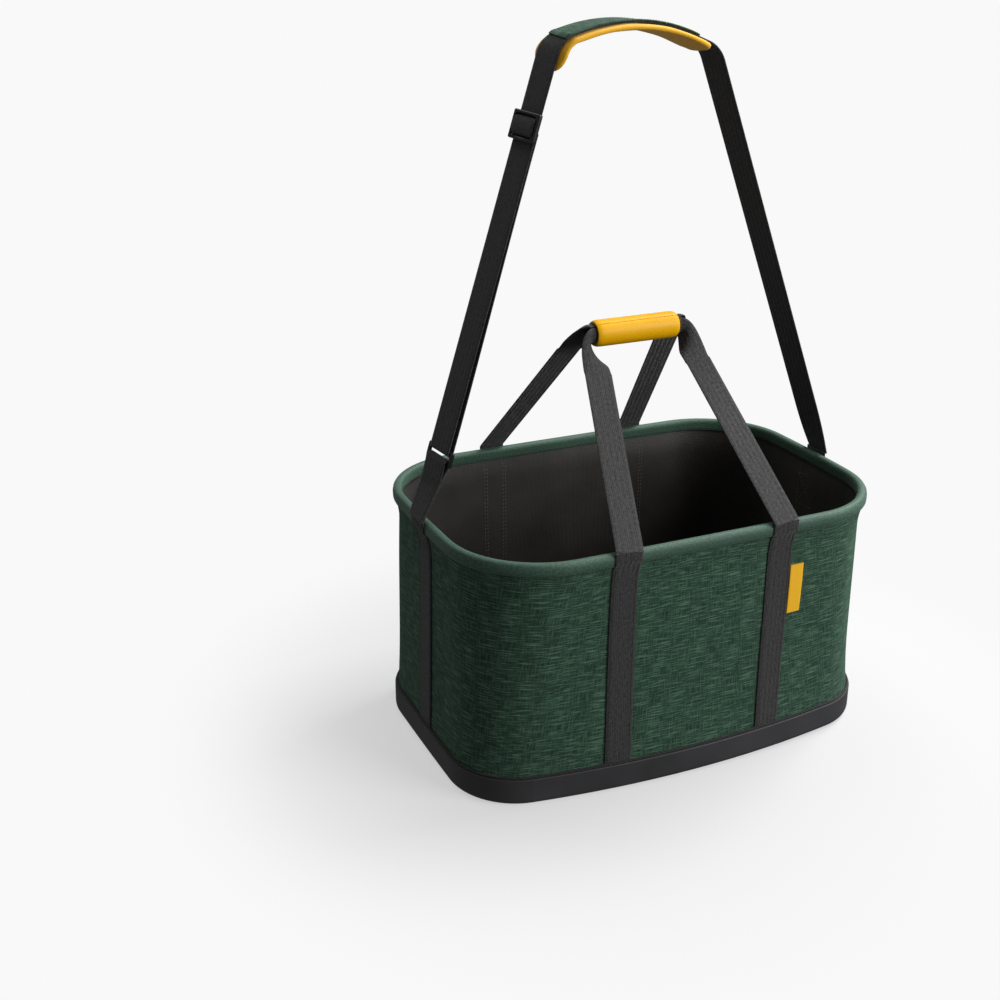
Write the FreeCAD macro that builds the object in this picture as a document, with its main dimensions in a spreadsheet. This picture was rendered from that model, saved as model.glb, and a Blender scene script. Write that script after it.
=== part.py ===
import FreeCAD, Part
import math
import os

import Sketcher
from FreeCAD import Matrix, Placement, Rotation, Vector

# Soft-sided carry basket: a moulded tray, a fabric wall, a sprung rim, two webbing handles whose
# grip closes round both, and a shoulder strap. Millimetres, +Z up, +X along the basket's length,
# -Y its front. The origin is on the floor, under the middle.

DIMENSIONS = [
    # the rim: a belt of four long arcs and four corner arcs
    ("rim_length", 530), ("rim_depth", 355), ("rim_height", 295), ("rim_corner", 110),
    ("rim_side_radius", 12000), ("rim_end_radius", 2000),
    # the moulded tray, of the same make
    ("tray_length", 532), ("tray_depth", 352), ("tray_height", 33), ("tray_corner", 82),
    ("tray_side_radius", 1200), ("tray_end_radius", 8000),
    ("tray_lip", 8), ("tray_floor", 3), ("tray_round", 8), ("tray_lip_round", 1.2),
    # what lies in the tray, and the wall that stands on its lip
    ("board_thick", 2.5), ("lining_thick", 0.6), ("fabric_thick", 1.2), ("piping_radius", 1.5),
    ("wall_inset", 4), ("wall_top_inset", 8),
    # the rim's hoop, its sleeve and the tape folded over it
    ("binding_tall", 15), ("binding_thick", 11), ("binding_round", 4),
    ("wire_radius", 2), ("sleeve_radius", 3.2), ("sleeve_length", 34),
    # webbing
    ("handle_web", 32), ("strap_web", 36), ("web_thick", 1.7), ("handle_spread", 196),
    ("band_over", 1.5),
    # gap between pieces that move apart
    ("joint_gap", 0.4),
    # handles and grip
    ("fold_out", 1.4), ("fold_rise", 2), ("leg_start", 3.2),
    ("grip_rise", 185), ("grip_shift", -1), ("grip_length", 104), ("grip_radius", 15),
    ("grip_wall", 3.6), ("grip_seam", 56), ("grip_chamfer", 3), ("web_slack", 0.6),
    ("pinch_length", 36), ("pinch_width", 13), ("pinch_thick", 5), ("pinch_clear", 5),
    # side label, its foot measured down from the rim's top
    ("label_width", 18), ("label_tall", 60), ("label_drop", 118), ("label_thick", 0.8),
    # shoulder strap: its ring, its three bends above the rim and how its width turns to the front
    ("strap_ring_in", 25), ("strap_ring_rise", 71), ("strap_turn", 12),
    ("left_bend_side", 109), ("left_bend_rise", 499), ("left_bend_radius", 28),
    ("crown_side", 18), ("crown_rise", 524), ("crown_radius", 200),
    ("right_bend_side", 78), ("right_bend_rise", 486), ("right_bend_radius", 36),
    ("root_length", 64),
    # ring, slide and shoulder pad
    ("ring_slack", 2), ("ring_slot_tall", 8), ("ring_bar", 4.5), ("ring_thick", 4),
    ("slide_rise", 413), ("slide_slack", 1.5), ("slide_bar_side", 3.3), ("slide_tall", 30),
    ("slide_bar", 3.6), ("slide_thick", 4), ("plate_corner", 3.4),
    ("pad_wide", 52), ("pad_thick", 8), ("pad_end_rise", 462),
    ("cover_wide", 40), ("cover_thick", 1.6),
]

doc = FreeCAD.newDocument("carry_basket")
sheet = doc.addObject("Spreadsheet::Sheet", "Sheet")
for row, (alias, value) in enumerate(DIMENSIONS, start=1):
    sheet.set(f"A{row}", alias)
    sheet.set(f"B{row}", str(value))
    sheet.setAlias(f"B{row}", alias)
doc.recompute()

NODES = []


def size(formula):
    """The value of a formula over the sheet's names, in millimetres or degrees."""
    found = sheet.evalExpression(formula)
    return float(getattr(found, "Value", found))


def bind(made, **formulas):
    """Ties an object's properties to formulas over the sheet; x, y and z stand for its place."""
    places = {"x": "Placement.Base.x", "y": "Placement.Base.y", "z": "Placement.Base.z"}
    for name, formula in formulas.items():
        made.setExpression(places.get(name, name), sheet_names(formula))
    return made


def sheet_names(formula):
    """Puts the sheet's name before each of its aliases in a formula."""
    words = sorted((alias for alias, _ in DIMENSIONS), key=len, reverse=True)
    out, i = "", 0
    while i < len(formula):
        word = next((w for w in words if formula.startswith(w, i)), None)
        before = formula[i - 1] if i else " "
        if word and not (before.isalnum() or before in "_."):
            out, i = out + "Sheet." + word, i + len(word)
        else:
            out, i = out + formula[i], i + 1
    return out


def node(made, label):
    """Gives a finished sub-part the name that it is exported under."""
    made.Label = label
    NODES.append(made)
    return made


def plane_of(body, role):
    return next(f for f in body.Origin.OriginFeatures if f.Role == role)


def sketch_in(body, name, role="XY_Plane", height=None):
    """A sketch on one of a body's own planes, lifted along its normal by a formula."""
    sketch = body.newObject("Sketcher::SketchObject", name)
    sketch.AttachmentSupport = (plane_of(body, role), [""])
    sketch.MapMode = "FlatFace"
    if height:
        sketch.setExpression("AttachmentOffset.Base.z", sheet_names(height))
    return sketch


def free_sketch(name, height):
    """A level sketch that stands in no body, at a height given by a formula."""
    return bind(doc.addObject("Sketcher::SketchObject", name), z=height)


def constrain(sketch, name, formula, *constraint):
    """Adds a dimension with its present value, names it and ties it to the sheet."""
    index = sketch.addConstraint(Sketcher.Constraint(*constraint, size(sheet_names(formula))))
    sketch.renameConstraint(index, name)
    sketch.setExpression("Constraints." + name, sheet_names(formula))


def belt(sketch, form, inset="0", prefix=""):
    """Draws the closed outline of the rim or the tray, inset from its outer edge.

    End, corner and side arcs are tangent, and every parallel outline keeps their centres.
    """
    half_x, half_y, corner, side, end = (
        size(sheet_names(f"{form}_{word} - ({inset}){more}"))
        for word, more in (("length / 2", ""), ("depth / 2", ""), ("corner", ""),
                           ("side_radius", ""), ("end_radius", ""))
    )
    centre = corner_centre(half_x, half_y, corner, side, end)
    from_end = math.atan2(centre.y, centre.x - (half_x - end))
    from_side = math.atan2(centre.y - (half_y - side), centre.x)
    first = sketch.GeometryCount
    for i in range(8):
        quarter = (i // 2) * math.pi / 2
        if i % 2:
            flip = i in (3, 7)
            low, high = (from_end, from_side)
            if flip:
                low, high = math.pi / 2 - from_side, math.pi / 2 - from_end
            sign_x = 1 if i in (1, 7) else -1
            sign_y = 1 if i in (1, 3) else -1
            middle, radius = Vector(sign_x * centre.x, sign_y * centre.y, 0), corner
        elif i % 4:
            middle, radius = Vector(0, (half_y - side) * (1 if i == 2 else -1), 0), side
            low, high = from_side - math.pi / 2, math.pi / 2 - from_side
        else:
            middle, radius = Vector((half_x - end) * (1 if i == 0 else -1), 0, 0), end
            low, high = -from_end, from_end
        circle = Part.Circle(middle, Vector(0, 0, 1), radius)
        sketch.addGeometry(Part.ArcOfCircle(circle, quarter + low, quarter + high), False)
    for i in range(8):
        sketch.addConstraint(Sketcher.Constraint("Tangent", first + i, 2, first + (i + 1) % 8, 1))
    for a, b in ((1, 3), (1, 5), (1, 7), (0, 4), (2, 6)):
        sketch.addConstraint(Sketcher.Constraint("Equal", first + a, first + b))
    for arc, axis in ((0, -1), (4, -1), (2, -2), (6, -2)):
        sketch.addConstraint(Sketcher.Constraint("PointOnObject", first + arc, 3, axis))
    constrain(sketch, prefix + "corner", f"{form}_corner - ({inset})", "Radius", first + 1)
    constrain(sketch, prefix + "side", f"{form}_side_radius - ({inset})", "Radius", first + 2)
    constrain(sketch, prefix + "end", f"{form}_end_radius - ({inset})", "Radius", first)
    for arc, where, name in ((0, (1, 0), "right"), (2, (0, 1), "back"),
                             (4, (-1, 0), "left"), (6, (0, -1), "front")):
        tip = sketch.addGeometry(Part.Point(Vector(where[0] * half_x, where[1] * half_y, 0)), True)
        sketch.addConstraint(Sketcher.Constraint("PointOnObject", tip, 1, first + arc))
        sketch.addConstraint(Sketcher.Constraint("PointOnObject", tip, 1, -1 if where[0] else -2))
        ends = ((-1, 1), (tip, 1)) if sum(where) > 0 else ((tip, 1), (-1, 1))
        axis, word = ("X", "length") if where[0] else ("Y", "depth")
        constrain(sketch, prefix + name, f"{form}_{word} / 2 - ({inset})",
                  "Distance" + axis, *ends[0], *ends[1])
    return sketch


def corner_centre(half_x, half_y, corner, side, end):
    """Centre of the corner arc that touches the side arc and the end arc from inside."""
    side_centre, end_centre = Vector(0, half_y - side, 0), Vector(half_x - end, 0, 0)
    to_side, to_end = side - corner, end - corner
    span = end_centre.sub(side_centre)
    along = (to_side**2 - to_end**2 + span.Length**2) / (2 * span.Length)
    across = math.sqrt(to_side**2 - along**2)
    unit = Vector(span).normalize()
    found = [side_centre + unit * along + Vector(-unit.y, unit.x, 0) * across * sign
             for sign in (1, -1)]
    return max(found, key=lambda p: min(p.x, p.y))


def edges_at(shape, height):
    """Names of the edges that lie at one height, for a fillet."""
    return [f"Edge{i}" for i, edge in enumerate(shape.Edges, start=1)
            if all(abs(v.Z - height) < 1e-4 for v in edge.Vertexes)]


def fillet(body, base, height, radius, name):
    """Rounds all the edges of a body that lie at one height."""
    doc.recompute()
    rounded = body.newObject("PartDesign::Fillet", name)
    rounded.Base = (base, edges_at(base.Shape, size(sheet_names(height))))
    return bind(rounded, Radius=radius)


def pad(body, sketch, name, length):
    made = body.newObject("PartDesign::Pad", name)
    made.Profile = sketch
    return bind(made, Length=length)


def pocket(body, sketch, name, length):
    """Cuts down from the sketch's plane."""
    made = body.newObject("PartDesign::Pocket", name)
    made.Profile = sketch
    return bind(made, Length=length)


def loft(name, low, high, low_inset, high_inset):
    """A solid between a tray outline at one height and a rim outline at another."""
    made = doc.addObject("Part::Loft", name)
    made.Sections = [belt(free_sketch(name + "_low", low), "tray", low_inset),
                     belt(free_sketch(name + "_high", high), "rim", high_inset)]
    made.Solid = True
    made.Ruled = True
    return made


def extrusion(name, sketch, length):
    made = doc.addObject("Part::Extrusion", name)
    made.Base = sketch
    made.DirMode = "Custom"
    made.Dir = Vector(0, 0, 1)
    made.Solid = True
    return bind(made, LengthFwd=length)


def cut(name, base, tool):
    made = doc.addObject("Part::Cut", name)
    made.Base, made.Tool = base, tool
    return made


def common(name, base, tool):
    made = doc.addObject("Part::Common", name)
    made.Base, made.Tool = base, tool
    return made


def block(name, length, width, tall, x, y, z):
    """A box, its size and its low corner given by formulas."""
    return bind(doc.addObject("Part::Box", name), Length=length, Width=width, Height=tall,
                x=x, y=y, z=z)


# ---- tray, and what lies in it ----

def tray():
    body = doc.addObject("PartDesign::Body", "Tray")
    outer = pad(body, belt(sketch_in(body, "tray_outline"), "tray"), "tray_block", "tray_height")
    foot = fillet(body, outer, "0", "tray_round", "tray_foot")
    fillet(body, foot, "tray_height", "tray_lip_round", "tray_lip_edge")
    inner = belt(sketch_in(body, "tray_hollow", height="tray_height"), "tray", "tray_lip")
    body.Tip = pocket(body, inner, "tray_inside", "tray_height - tray_floor")
    node(body, "base_tray")


def board():
    body = doc.addObject("PartDesign::Body", "Board")
    outline = belt(sketch_in(body, "board_outline", height="tray_floor"), "tray",
                   "tray_lip + 2 * joint_gap")
    pad(body, outline, "board_sheet", "board_thick")
    node(body, "base_board")


def lining_dish():
    body = doc.addObject("PartDesign::Body", "Lining")
    low = "tray_floor + board_thick"
    outline = belt(sketch_in(body, "dish_outline", height=low), "tray", "tray_lip")
    pad(body, outline, "dish_block", f"tray_height - ({low})")
    inside = belt(sketch_in(body, "dish_hollow", height="tray_height"), "tray",
                  "tray_lip + lining_thick")
    body.Tip = pocket(body, inside, "dish_inside", f"tray_height - ({low}) - lining_thick")
    node(body, "base_lining")


def ring_pipe(name, form, inset, height, radius):
    """A body of round cord or wire that runs all the way round a belt outline."""
    body = doc.addObject("PartDesign::Body", name)
    path = belt(sketch_in(body, name + "_path", height=height), form, inset)
    profile = sketch_in(body, name + "_section", "XZ_Plane")
    place = Vector(size(sheet_names(f"{form}_length / 2 - ({inset})")), size(sheet_names(height)), 0)
    profile.addGeometry(Part.Circle(place, Vector(0, 0, 1), size(sheet_names(radius))), False)
    constrain(profile, "out", f"{form}_length / 2 - ({inset})", "DistanceX", -1, 1, 0, 3)
    constrain(profile, "up", height, "DistanceY", -1, 1, 0, 3)
    constrain(profile, "radius", radius, "Radius", 0)
    doc.recompute()
    pipe = body.newObject("PartDesign::AdditivePipe", name + "_pipe")
    pipe.Profile = profile
    pipe.Spine = (path, [f"Edge{i}" for i in range(1, 9)])
    return body


# ---- wall and rim ----

WALL_TOP = "rim_height - binding_tall - joint_gap"


def walls():
    outside = loft("wall_outside", "tray_height", WALL_TOP, "wall_inset", "wall_top_inset")
    seam = loft("wall_seam", "tray_height", WALL_TOP, "wall_inset + fabric_thick",
                "wall_top_inset + fabric_thick")
    inside = loft("wall_inside", "tray_height", WALL_TOP, "wall_inset + fabric_thick + lining_thick",
                  "wall_top_inset + fabric_thick + lining_thick")
    node(cut("Wall", outside, seam), "wall_fabric")
    node(cut("WallLining", seam, inside), "wall_lining")
    over = loft("band_outside", "tray_height", WALL_TOP, "wall_inset - web_thick",
                "wall_top_inset - web_thick")
    sleeve = cut("band_sleeve", over, outside)
    foot = "tray_height + 2 * piping_radius"
    for name, box in band_boxes("wall", foot, f"({WALL_TOP}) - ({foot})"):
        node(common("Band_" + name, sleeve, box), name + "_band")


def band_boxes(place, low, tall):
    """Boxes that pick out the six stretches of webbing from a belt round the basket."""
    deep = "rim_depth / 4"
    for y_name, y in (("front", f"-(rim_depth / 2 + {deep})"), ("back", deep)):
        for x_name, x in (("left", "-(handle_spread + handle_web) / 2"),
                          ("right", "(handle_spread - handle_web) / 2")):
            name = f"{y_name}_{x_name}"
            yield name, block(f"{place}_box_{name}", "handle_web", "rim_depth / 2", tall, x, y, low)
    deep = "rim_length / 4"
    for name, x in (("left_end", f"-(rim_length / 2 + {deep})"), ("right_end", deep)):
        yield name, block(f"{place}_box_{name}", "rim_length / 2", "strap_web", tall,
                          x, "-strap_web / 2", low)


def rim():
    wire_height = "rim_height - binding_tall / 2"
    wire_inset = "binding_thick / 2"
    wire = node(ring_pipe("Wire", "rim", wire_inset, wire_height, "wire_radius"), "rim_wire")
    barrel = bind(doc.addObject("Part::Cylinder", "sleeve_barrel"), Radius="sleeve_radius",
                  Height="sleeve_length")
    bore = bind(doc.addObject("Part::Cylinder", "sleeve_bore"), Radius="wire_radius",
                Height="sleeve_length")
    for tube in (barrel, bore):
        tube.Placement.Rotation = Rotation(Vector(0, 1, 0), 90)
        bind(tube, x="-sleeve_length / 2", y=f"rim_depth / 2 - {wire_inset}", z=wire_height)
    node(cut("Sleeve", barrel, bore), "wire_sleeve")

    body = doc.addObject("PartDesign::Body", "BindingBlank")
    ring = sketch_in(body, "binding_outline", height="rim_height - binding_tall")
    belt(belt(ring, "rim"), "rim", "binding_thick", "inner_")
    tape = pad(body, ring, "binding_ring", "binding_tall")
    top = fillet(body, tape, "rim_height", "binding_round", "binding_top")
    fillet(body, top, "rim_height - binding_tall", "binding_round / 2", "binding_foot")
    hidden = doc.addObject("Part::Fuse", "wire_and_barrel")
    hidden.Base, hidden.Tool = wire, barrel
    node(cut("Binding", body, hidden), "rim_binding")

    low = "rim_height - binding_tall"
    tall = "binding_tall + band_over"
    over = extrusion("turn_outer", belt(free_sketch("turn_outline", low), "rim", "-web_thick"), tall)
    under = extrusion("turn_inner", belt(free_sketch("turn_hollow", low), "rim"), tall)
    sleeve = cut("turn_sleeve", over, under)
    for name, box in band_boxes("rim", low, tall):
        node(common("Turn_" + name, sleeve, box), name + "_band_top")


def piping():
    """The cord on the tray's lip, as far out as a wall that leans outwards pushes it."""
    lean = [f"(rim_{way} - tray_{way}) / 2 + wall_inset - wall_top_inset" for way in ("length", "depth")]
    pushed = f"max(0; {lean[0]}; {lean[1]}) * 2 * piping_radius / ({WALL_TOP} - tray_height)"
    cord = ring_pipe("Piping", "tray", f"wall_inset - piping_radius - joint_gap / 4 - {pushed}",
                     "tray_height + piping_radius", "piping_radius")
    node(cord, "tray_piping")


def label():
    """The woven tab on the front wall, its edge in the front right band's seam."""
    top = loft("label_outside", "tray_height", WALL_TOP, "wall_inset - label_thick",
               "wall_top_inset - label_thick")
    shell = cut("label_sleeve", top, doc.getObject("wall_outside"))
    box = block("box_label", "label_width", "rim_depth / 2", "label_tall",
                "(handle_spread + handle_web) / 2", "-rim_depth * 3 / 4", "rim_height - label_drop")
    node(common("Label", shell, box), "side_label")


# ---- handles ----

WEB_IN_GRIP = "grip_radius - grip_wall - web_slack"


def rectangle(centre, wide, across, thick, normal):
    """A closed rectangular wire, wide along one direction and thick along another."""
    wide, thick = Vector(wide) * (across / 2), Vector(normal) * (thick / 2)
    corners = [centre + wide + thick, centre - wide + thick, centre - wide - thick,
               centre + wide - thick]
    return Part.makePolygon(corners + corners[:1])


def shape_node(name, shape, label, placement=Placement()):
    """A sub-part whose shape is worked out above, drawn about the origin and then put in place."""
    made = doc.addObject("Part::Feature", name)
    made.Shape = shape
    made.Placement = placement
    return node(made, label)


def handle_leg(side, front):
    """One leg of webbing, flat from the rim, that turns and gathers into the grip's end.

    side is -1 at the left and 1 at the right; front is -1 for the front handle, 1 for the back.
    """
    foot = Vector(side * size("Sheet.handle_spread / 2"), front * fold_side(), fold_height())
    seam = math.radians(size("Sheet.grip_seam"))
    out = Vector(0, math.sin(seam), math.cos(seam)) * front
    axis = Vector(size("Sheet.grip_shift"), 0, size("Sheet.rim_height + Sheet.grip_rise"))
    reach = Vector(size("Sheet.grip_length / 2 + Sheet.pinch_clear"), 0, 0)
    head = axis + reach * side + out * size(sheet_names(f"{WEB_IN_GRIP} - pinch_thick / 2"))
    run = head.sub(foot).normalize()
    wide = (Vector(1, 0, 0) - run * run.x).normalize()
    width, thick = size("Sheet.handle_web"), size("Sheet.web_thick")
    neck = head - run * size("Sheet.pinch_length")
    start = foot + run * size("Sheet.leg_start")
    rise = Vector(0, run.y, run.z).normalize()
    wires = [rectangle(start, wide, width, thick, run.cross(wide)),
             rectangle(neck, wide, width, thick, run.cross(wide)),
             rectangle(head, rise * side, size("Sheet.pinch_width"), size("Sheet.pinch_thick"),
                       rise.cross(Vector(1, 0, 0)))]
    return Part.makeLoft(wires, True, True)


def fold_side():
    """How far from the middle each handle folds: just outside the webbing over the rim."""
    return size("Sheet.rim_depth / 2 + Sheet.web_thick + Sheet.fold_out")


def fold_height():
    return size("Sheet.rim_height + Sheet.fold_rise")


def sector(name, inner, outer, front, gap, long, label, chamfer=None):
    """Half of a tube along X round the grip's middle, on one side of the grip's seam."""
    body = doc.addObject("PartDesign::Body", name)
    sketch = sketch_in(body, name + "_section", "YZ_Plane")
    tilt = math.radians(size("Sheet.grip_seam"))
    seam = Vector(-math.cos(tilt), math.sin(tilt), 0)
    out = Vector(seam.y, -seam.x, 0) * front
    clear = size(sheet_names(gap))
    points = []
    for radius in (size(sheet_names(inner)), size(sheet_names(outer))):
        reach = math.sqrt(radius**2 - clear**2)
        points.append([out * clear + seam * reach, out * radius, out * clear - seam * reach])
    edges = [Part.Arc(*points[0]), Part.LineSegment(points[0][2], points[1][2]),
             Part.Arc(*reversed(points[1])), Part.LineSegment(points[1][0], points[0][0])]
    for edge in edges:
        sketch.addGeometry(edge, False)
    for i in range(4):
        after = (i + 1) % 4
        i_end, j_end = min(((p, q) for p in (1, 2) for q in (1, 2)), key=lambda ends:
                           sketch.getPoint(i, ends[0]).distanceToPoint(sketch.getPoint(after, ends[1])))
        sketch.addConstraint(Sketcher.Constraint("Coincident", i, i_end, after, j_end))
    sketch.addConstraint(Sketcher.Constraint("Coincident", 0, 3, -1, 1))
    sketch.addConstraint(Sketcher.Constraint("Coincident", 2, 3, -1, 1))
    constrain(sketch, "inner", inner, "Radius", 0)
    constrain(sketch, "outer", outer, "Radius", 2)
    made = pad(body, sketch, name + "_tube", long)
    bind(body, x=f"grip_shift - ({long}) / 2", z="rim_height + grip_rise")
    if chamfer:
        doc.recompute()
        ends = [f"Edge{i}" for i, edge in enumerate(made.Shape.Edges, start=1)
                if edge.Curve.TypeId == "Part::GeomCircle"
                and abs(edge.Curve.Radius - size(sheet_names(outer))) < 1e-4]
        bevel = body.newObject("PartDesign::Chamfer", name + "_ends")
        bevel.Base = (made, ends)
        bind(bevel, Size=chamfer)
    return node(body, label)


def handles():
    for front, word in ((-1, "front"), (1, "back")):
        for side, hand in ((-1, "left"), (1, "right")):
            shape_node(f"Leg_{word}_{hand}", handle_leg(side, front), f"{word}_{hand}_leg")
        sector(f"Web_{word}", f"{WEB_IN_GRIP} - web_thick", WEB_IN_GRIP, front, "2 * web_thick",
               "grip_length + 2 * pinch_clear", f"{word}_grip_web")
        sector(f"Grip_{word}", "grip_radius - grip_wall", "grip_radius", front, "joint_gap / 2",
               "grip_length", f"grip_{word}_half", "grip_chamfer")


# ---- shoulder strap ----

def strap_axes():
    """Along the left leg, across the webbing and out of its face, as unit vectors."""
    along = arch_points()[1].sub(arch_points()[0]).normalize()
    skew = strap_across()
    across = (skew - along * skew.dot(along)).normalize()
    return along, across, across.cross(along)


def strap_across():
    """The level direction that the webbing's width lies in, turned a little to the front."""
    turn = math.radians(size("Sheet.strap_turn"))
    return Vector(math.sin(turn), -math.cos(turn), 0)


def arch_points():
    """The strap's line in the plane of the basket's length: ring, three bends, right end."""
    names = ["left_bend", "crown", "right_bend"]
    signs = [-1, -1, 1]
    points = [Vector(-size("Sheet.rim_length / 2 - Sheet.strap_ring_in"), 0,
                     size("Sheet.rim_height + Sheet.strap_ring_rise"))]
    points += [Vector(sign * size(f"Sheet.{name}_side"), 0,
                      size(f"Sheet.rim_height + Sheet.{name}_rise"))
               for name, sign in zip(names, signs)]
    return points + [strap_foot(1)]


def strap_foot(side):
    """Where the strap's line leaves the rim, on the outside of the webbing over the binding."""
    out = size("Sheet.rim_length / 2 + Sheet.web_thick + Sheet.web_thick / 2 + Sheet.joint_gap")
    return Vector(side * out, 0, size("Sheet.rim_height + Sheet.fold_rise"))


def arch_edges(offset, start):
    """The arch's line past a start, moved outwards: straight runs joined by tangent arcs."""
    points = arch_points()
    radii = [size(f"Sheet.{name}_bend_radius") for name in ("left", "right")]
    radii = [radii[0], size("Sheet.crown_radius"), radii[1]]
    runs = [b.sub(a).normalize() for a, b in zip(points, points[1:])]
    outs = [Vector(-run.z, 0, run.x) for run in runs]
    last = points[0] + runs[0] * start + outs[0] * offset
    edges = []
    for corner, radius, i in zip(points[1:-1], radii, range(3)):
        half_turn = runs[i].getAngle(runs[i + 1]) / 2
        centre = corner - runs[i] * radius * math.tan(half_turn) - outs[i] * radius
        middle = (outs[i] + outs[i + 1]).normalize()
        arc = [centre + out * (radius + offset) for out in (outs[i], middle, outs[i + 1])]
        edges += [Part.LineSegment(last, arc[0]).toShape(), Part.Arc(*arc).toShape()]
        last = arc[2]
    end = points[-1] - runs[-1] * size("Sheet.root_length") + outs[-1] * offset
    return edges + [Part.LineSegment(last, end).toShape()]


def arch_ribbon(low, high, width, start=0):
    """Webbing or padding that follows the arch between two offsets, turned a little to the front."""
    inner, outer = Part.Wire(arch_edges(low, start)), Part.Wire(arch_edges(high, start))
    ends = [Part.LineSegment(a.Point, b.Point).toShape() for a, b in
            zip((inner.OrderedVertexes[0], inner.OrderedVertexes[-1]),
                (outer.OrderedVertexes[0], outer.OrderedVertexes[-1]))]
    face = Part.Face(Part.Wire(Part.__sortEdges__(inner.Edges + outer.Edges + ends)))
    across = strap_across() * width
    face.translate(across * -0.5)
    return face.extrude(across)


def above(shape, height):
    """The stretch of a piece above a height."""
    box = shape.BoundBox
    space = Part.makeBox(box.XLength, box.YLength, box.ZMax - height,
                         Vector(box.XMin, box.YMin, height))
    return shape.common(space)


def strap_placement(distance, out):
    """Places a flat piece on the left leg: its X across, its Y along and its Z out of the face."""
    along, across, normal = strap_axes()
    origin = arch_points()[0] + along * distance + normal * out
    return Placement(Matrix(across.x, along.x, normal.x, origin.x,
                            across.y, along.y, normal.y, origin.y,
                            across.z, along.z, normal.z, origin.z, 0, 0, 0, 1))


def flat_strip(start, end, width, thick, out=0):
    """A straight piece of webbing on the left leg's own axes, its middle layer lying at out."""
    return Part.makeBox(width, end - start, thick, Vector(-width / 2, start, out - thick / 2))


def plate(body, name, wide, tall, slots, thick, label, distance, out):
    """A flat moulded frame with rectangular slots, its edges rounded, laid on the strap's left leg.

    Each slot is a width, a height and the place of its middle, all formulas.
    """
    sketch = sketch_in(body, name + "_outline")
    box_in_sketch(sketch, "frame", wide, tall, "0")
    for i, slot in enumerate(slots):
        box_in_sketch(sketch, f"slot{i}", *slot)
    made = pad(body, sketch, name + "_plate", thick)
    made.Midplane = True
    doc.recompute()
    corners = [f"Edge{i}" for i, edge in enumerate(made.Shape.Edges, start=1)
               if len(edge.Vertexes) == 2 and abs(edge.Vertexes[0].Z - edge.Vertexes[1].Z) > 1
               and abs(abs(edge.Vertexes[0].X) - size(sheet_names(wide)) / 2) < 1e-4]
    rounded = body.newObject("PartDesign::Fillet", name + "_corners")
    rounded.Base = (made, corners)
    bind(rounded, Radius="plate_corner")
    body.Placement = strap_placement(distance, out)
    return node(body, label)


def box_in_sketch(sketch, name, wide, tall, middle):
    """A rectangle centred on the sketch's Y axis, at a height given by a formula."""
    half, tall_now, mid = (size(sheet_names(f)) for f in (f"({wide}) / 2", tall, middle))
    low, high = mid - tall_now / 2, mid + tall_now / 2
    corners = [Vector(-half, low, 0), Vector(half, low, 0), Vector(half, high, 0), Vector(-half, high, 0)]
    first = sketch.GeometryCount
    for a, b in zip(corners, corners[1:] + corners[:1]):
        sketch.addGeometry(Part.LineSegment(a, b), False)
    for i in range(4):
        sketch.addConstraint(Sketcher.Constraint("Coincident", first + i, 2, first + (i + 1) % 4, 1))
    for i, kind in ((1, "Vertical"), (2, "Horizontal"), (3, "Vertical")):
        sketch.addConstraint(Sketcher.Constraint(kind, first + i))
    sketch.addConstraint(Sketcher.Constraint("Symmetric", first, 1, first, 2, -2))
    constrain(sketch, name + "_wide", wide, "DistanceX", first, 1, first, 2)
    constrain(sketch, name + "_tall", tall, "DistanceY", first + 1, 1, first + 1, 2)
    if mid - tall_now / 2 > 0:
        constrain(sketch, name + "_low", f"({middle}) - ({tall}) / 2", "DistanceY", -1, 1, first, 2)
    else:
        constrain(sketch, name + "_low", f"({tall}) / 2 - ({middle})", "DistanceY", first, 2, -1, 1)


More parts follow.
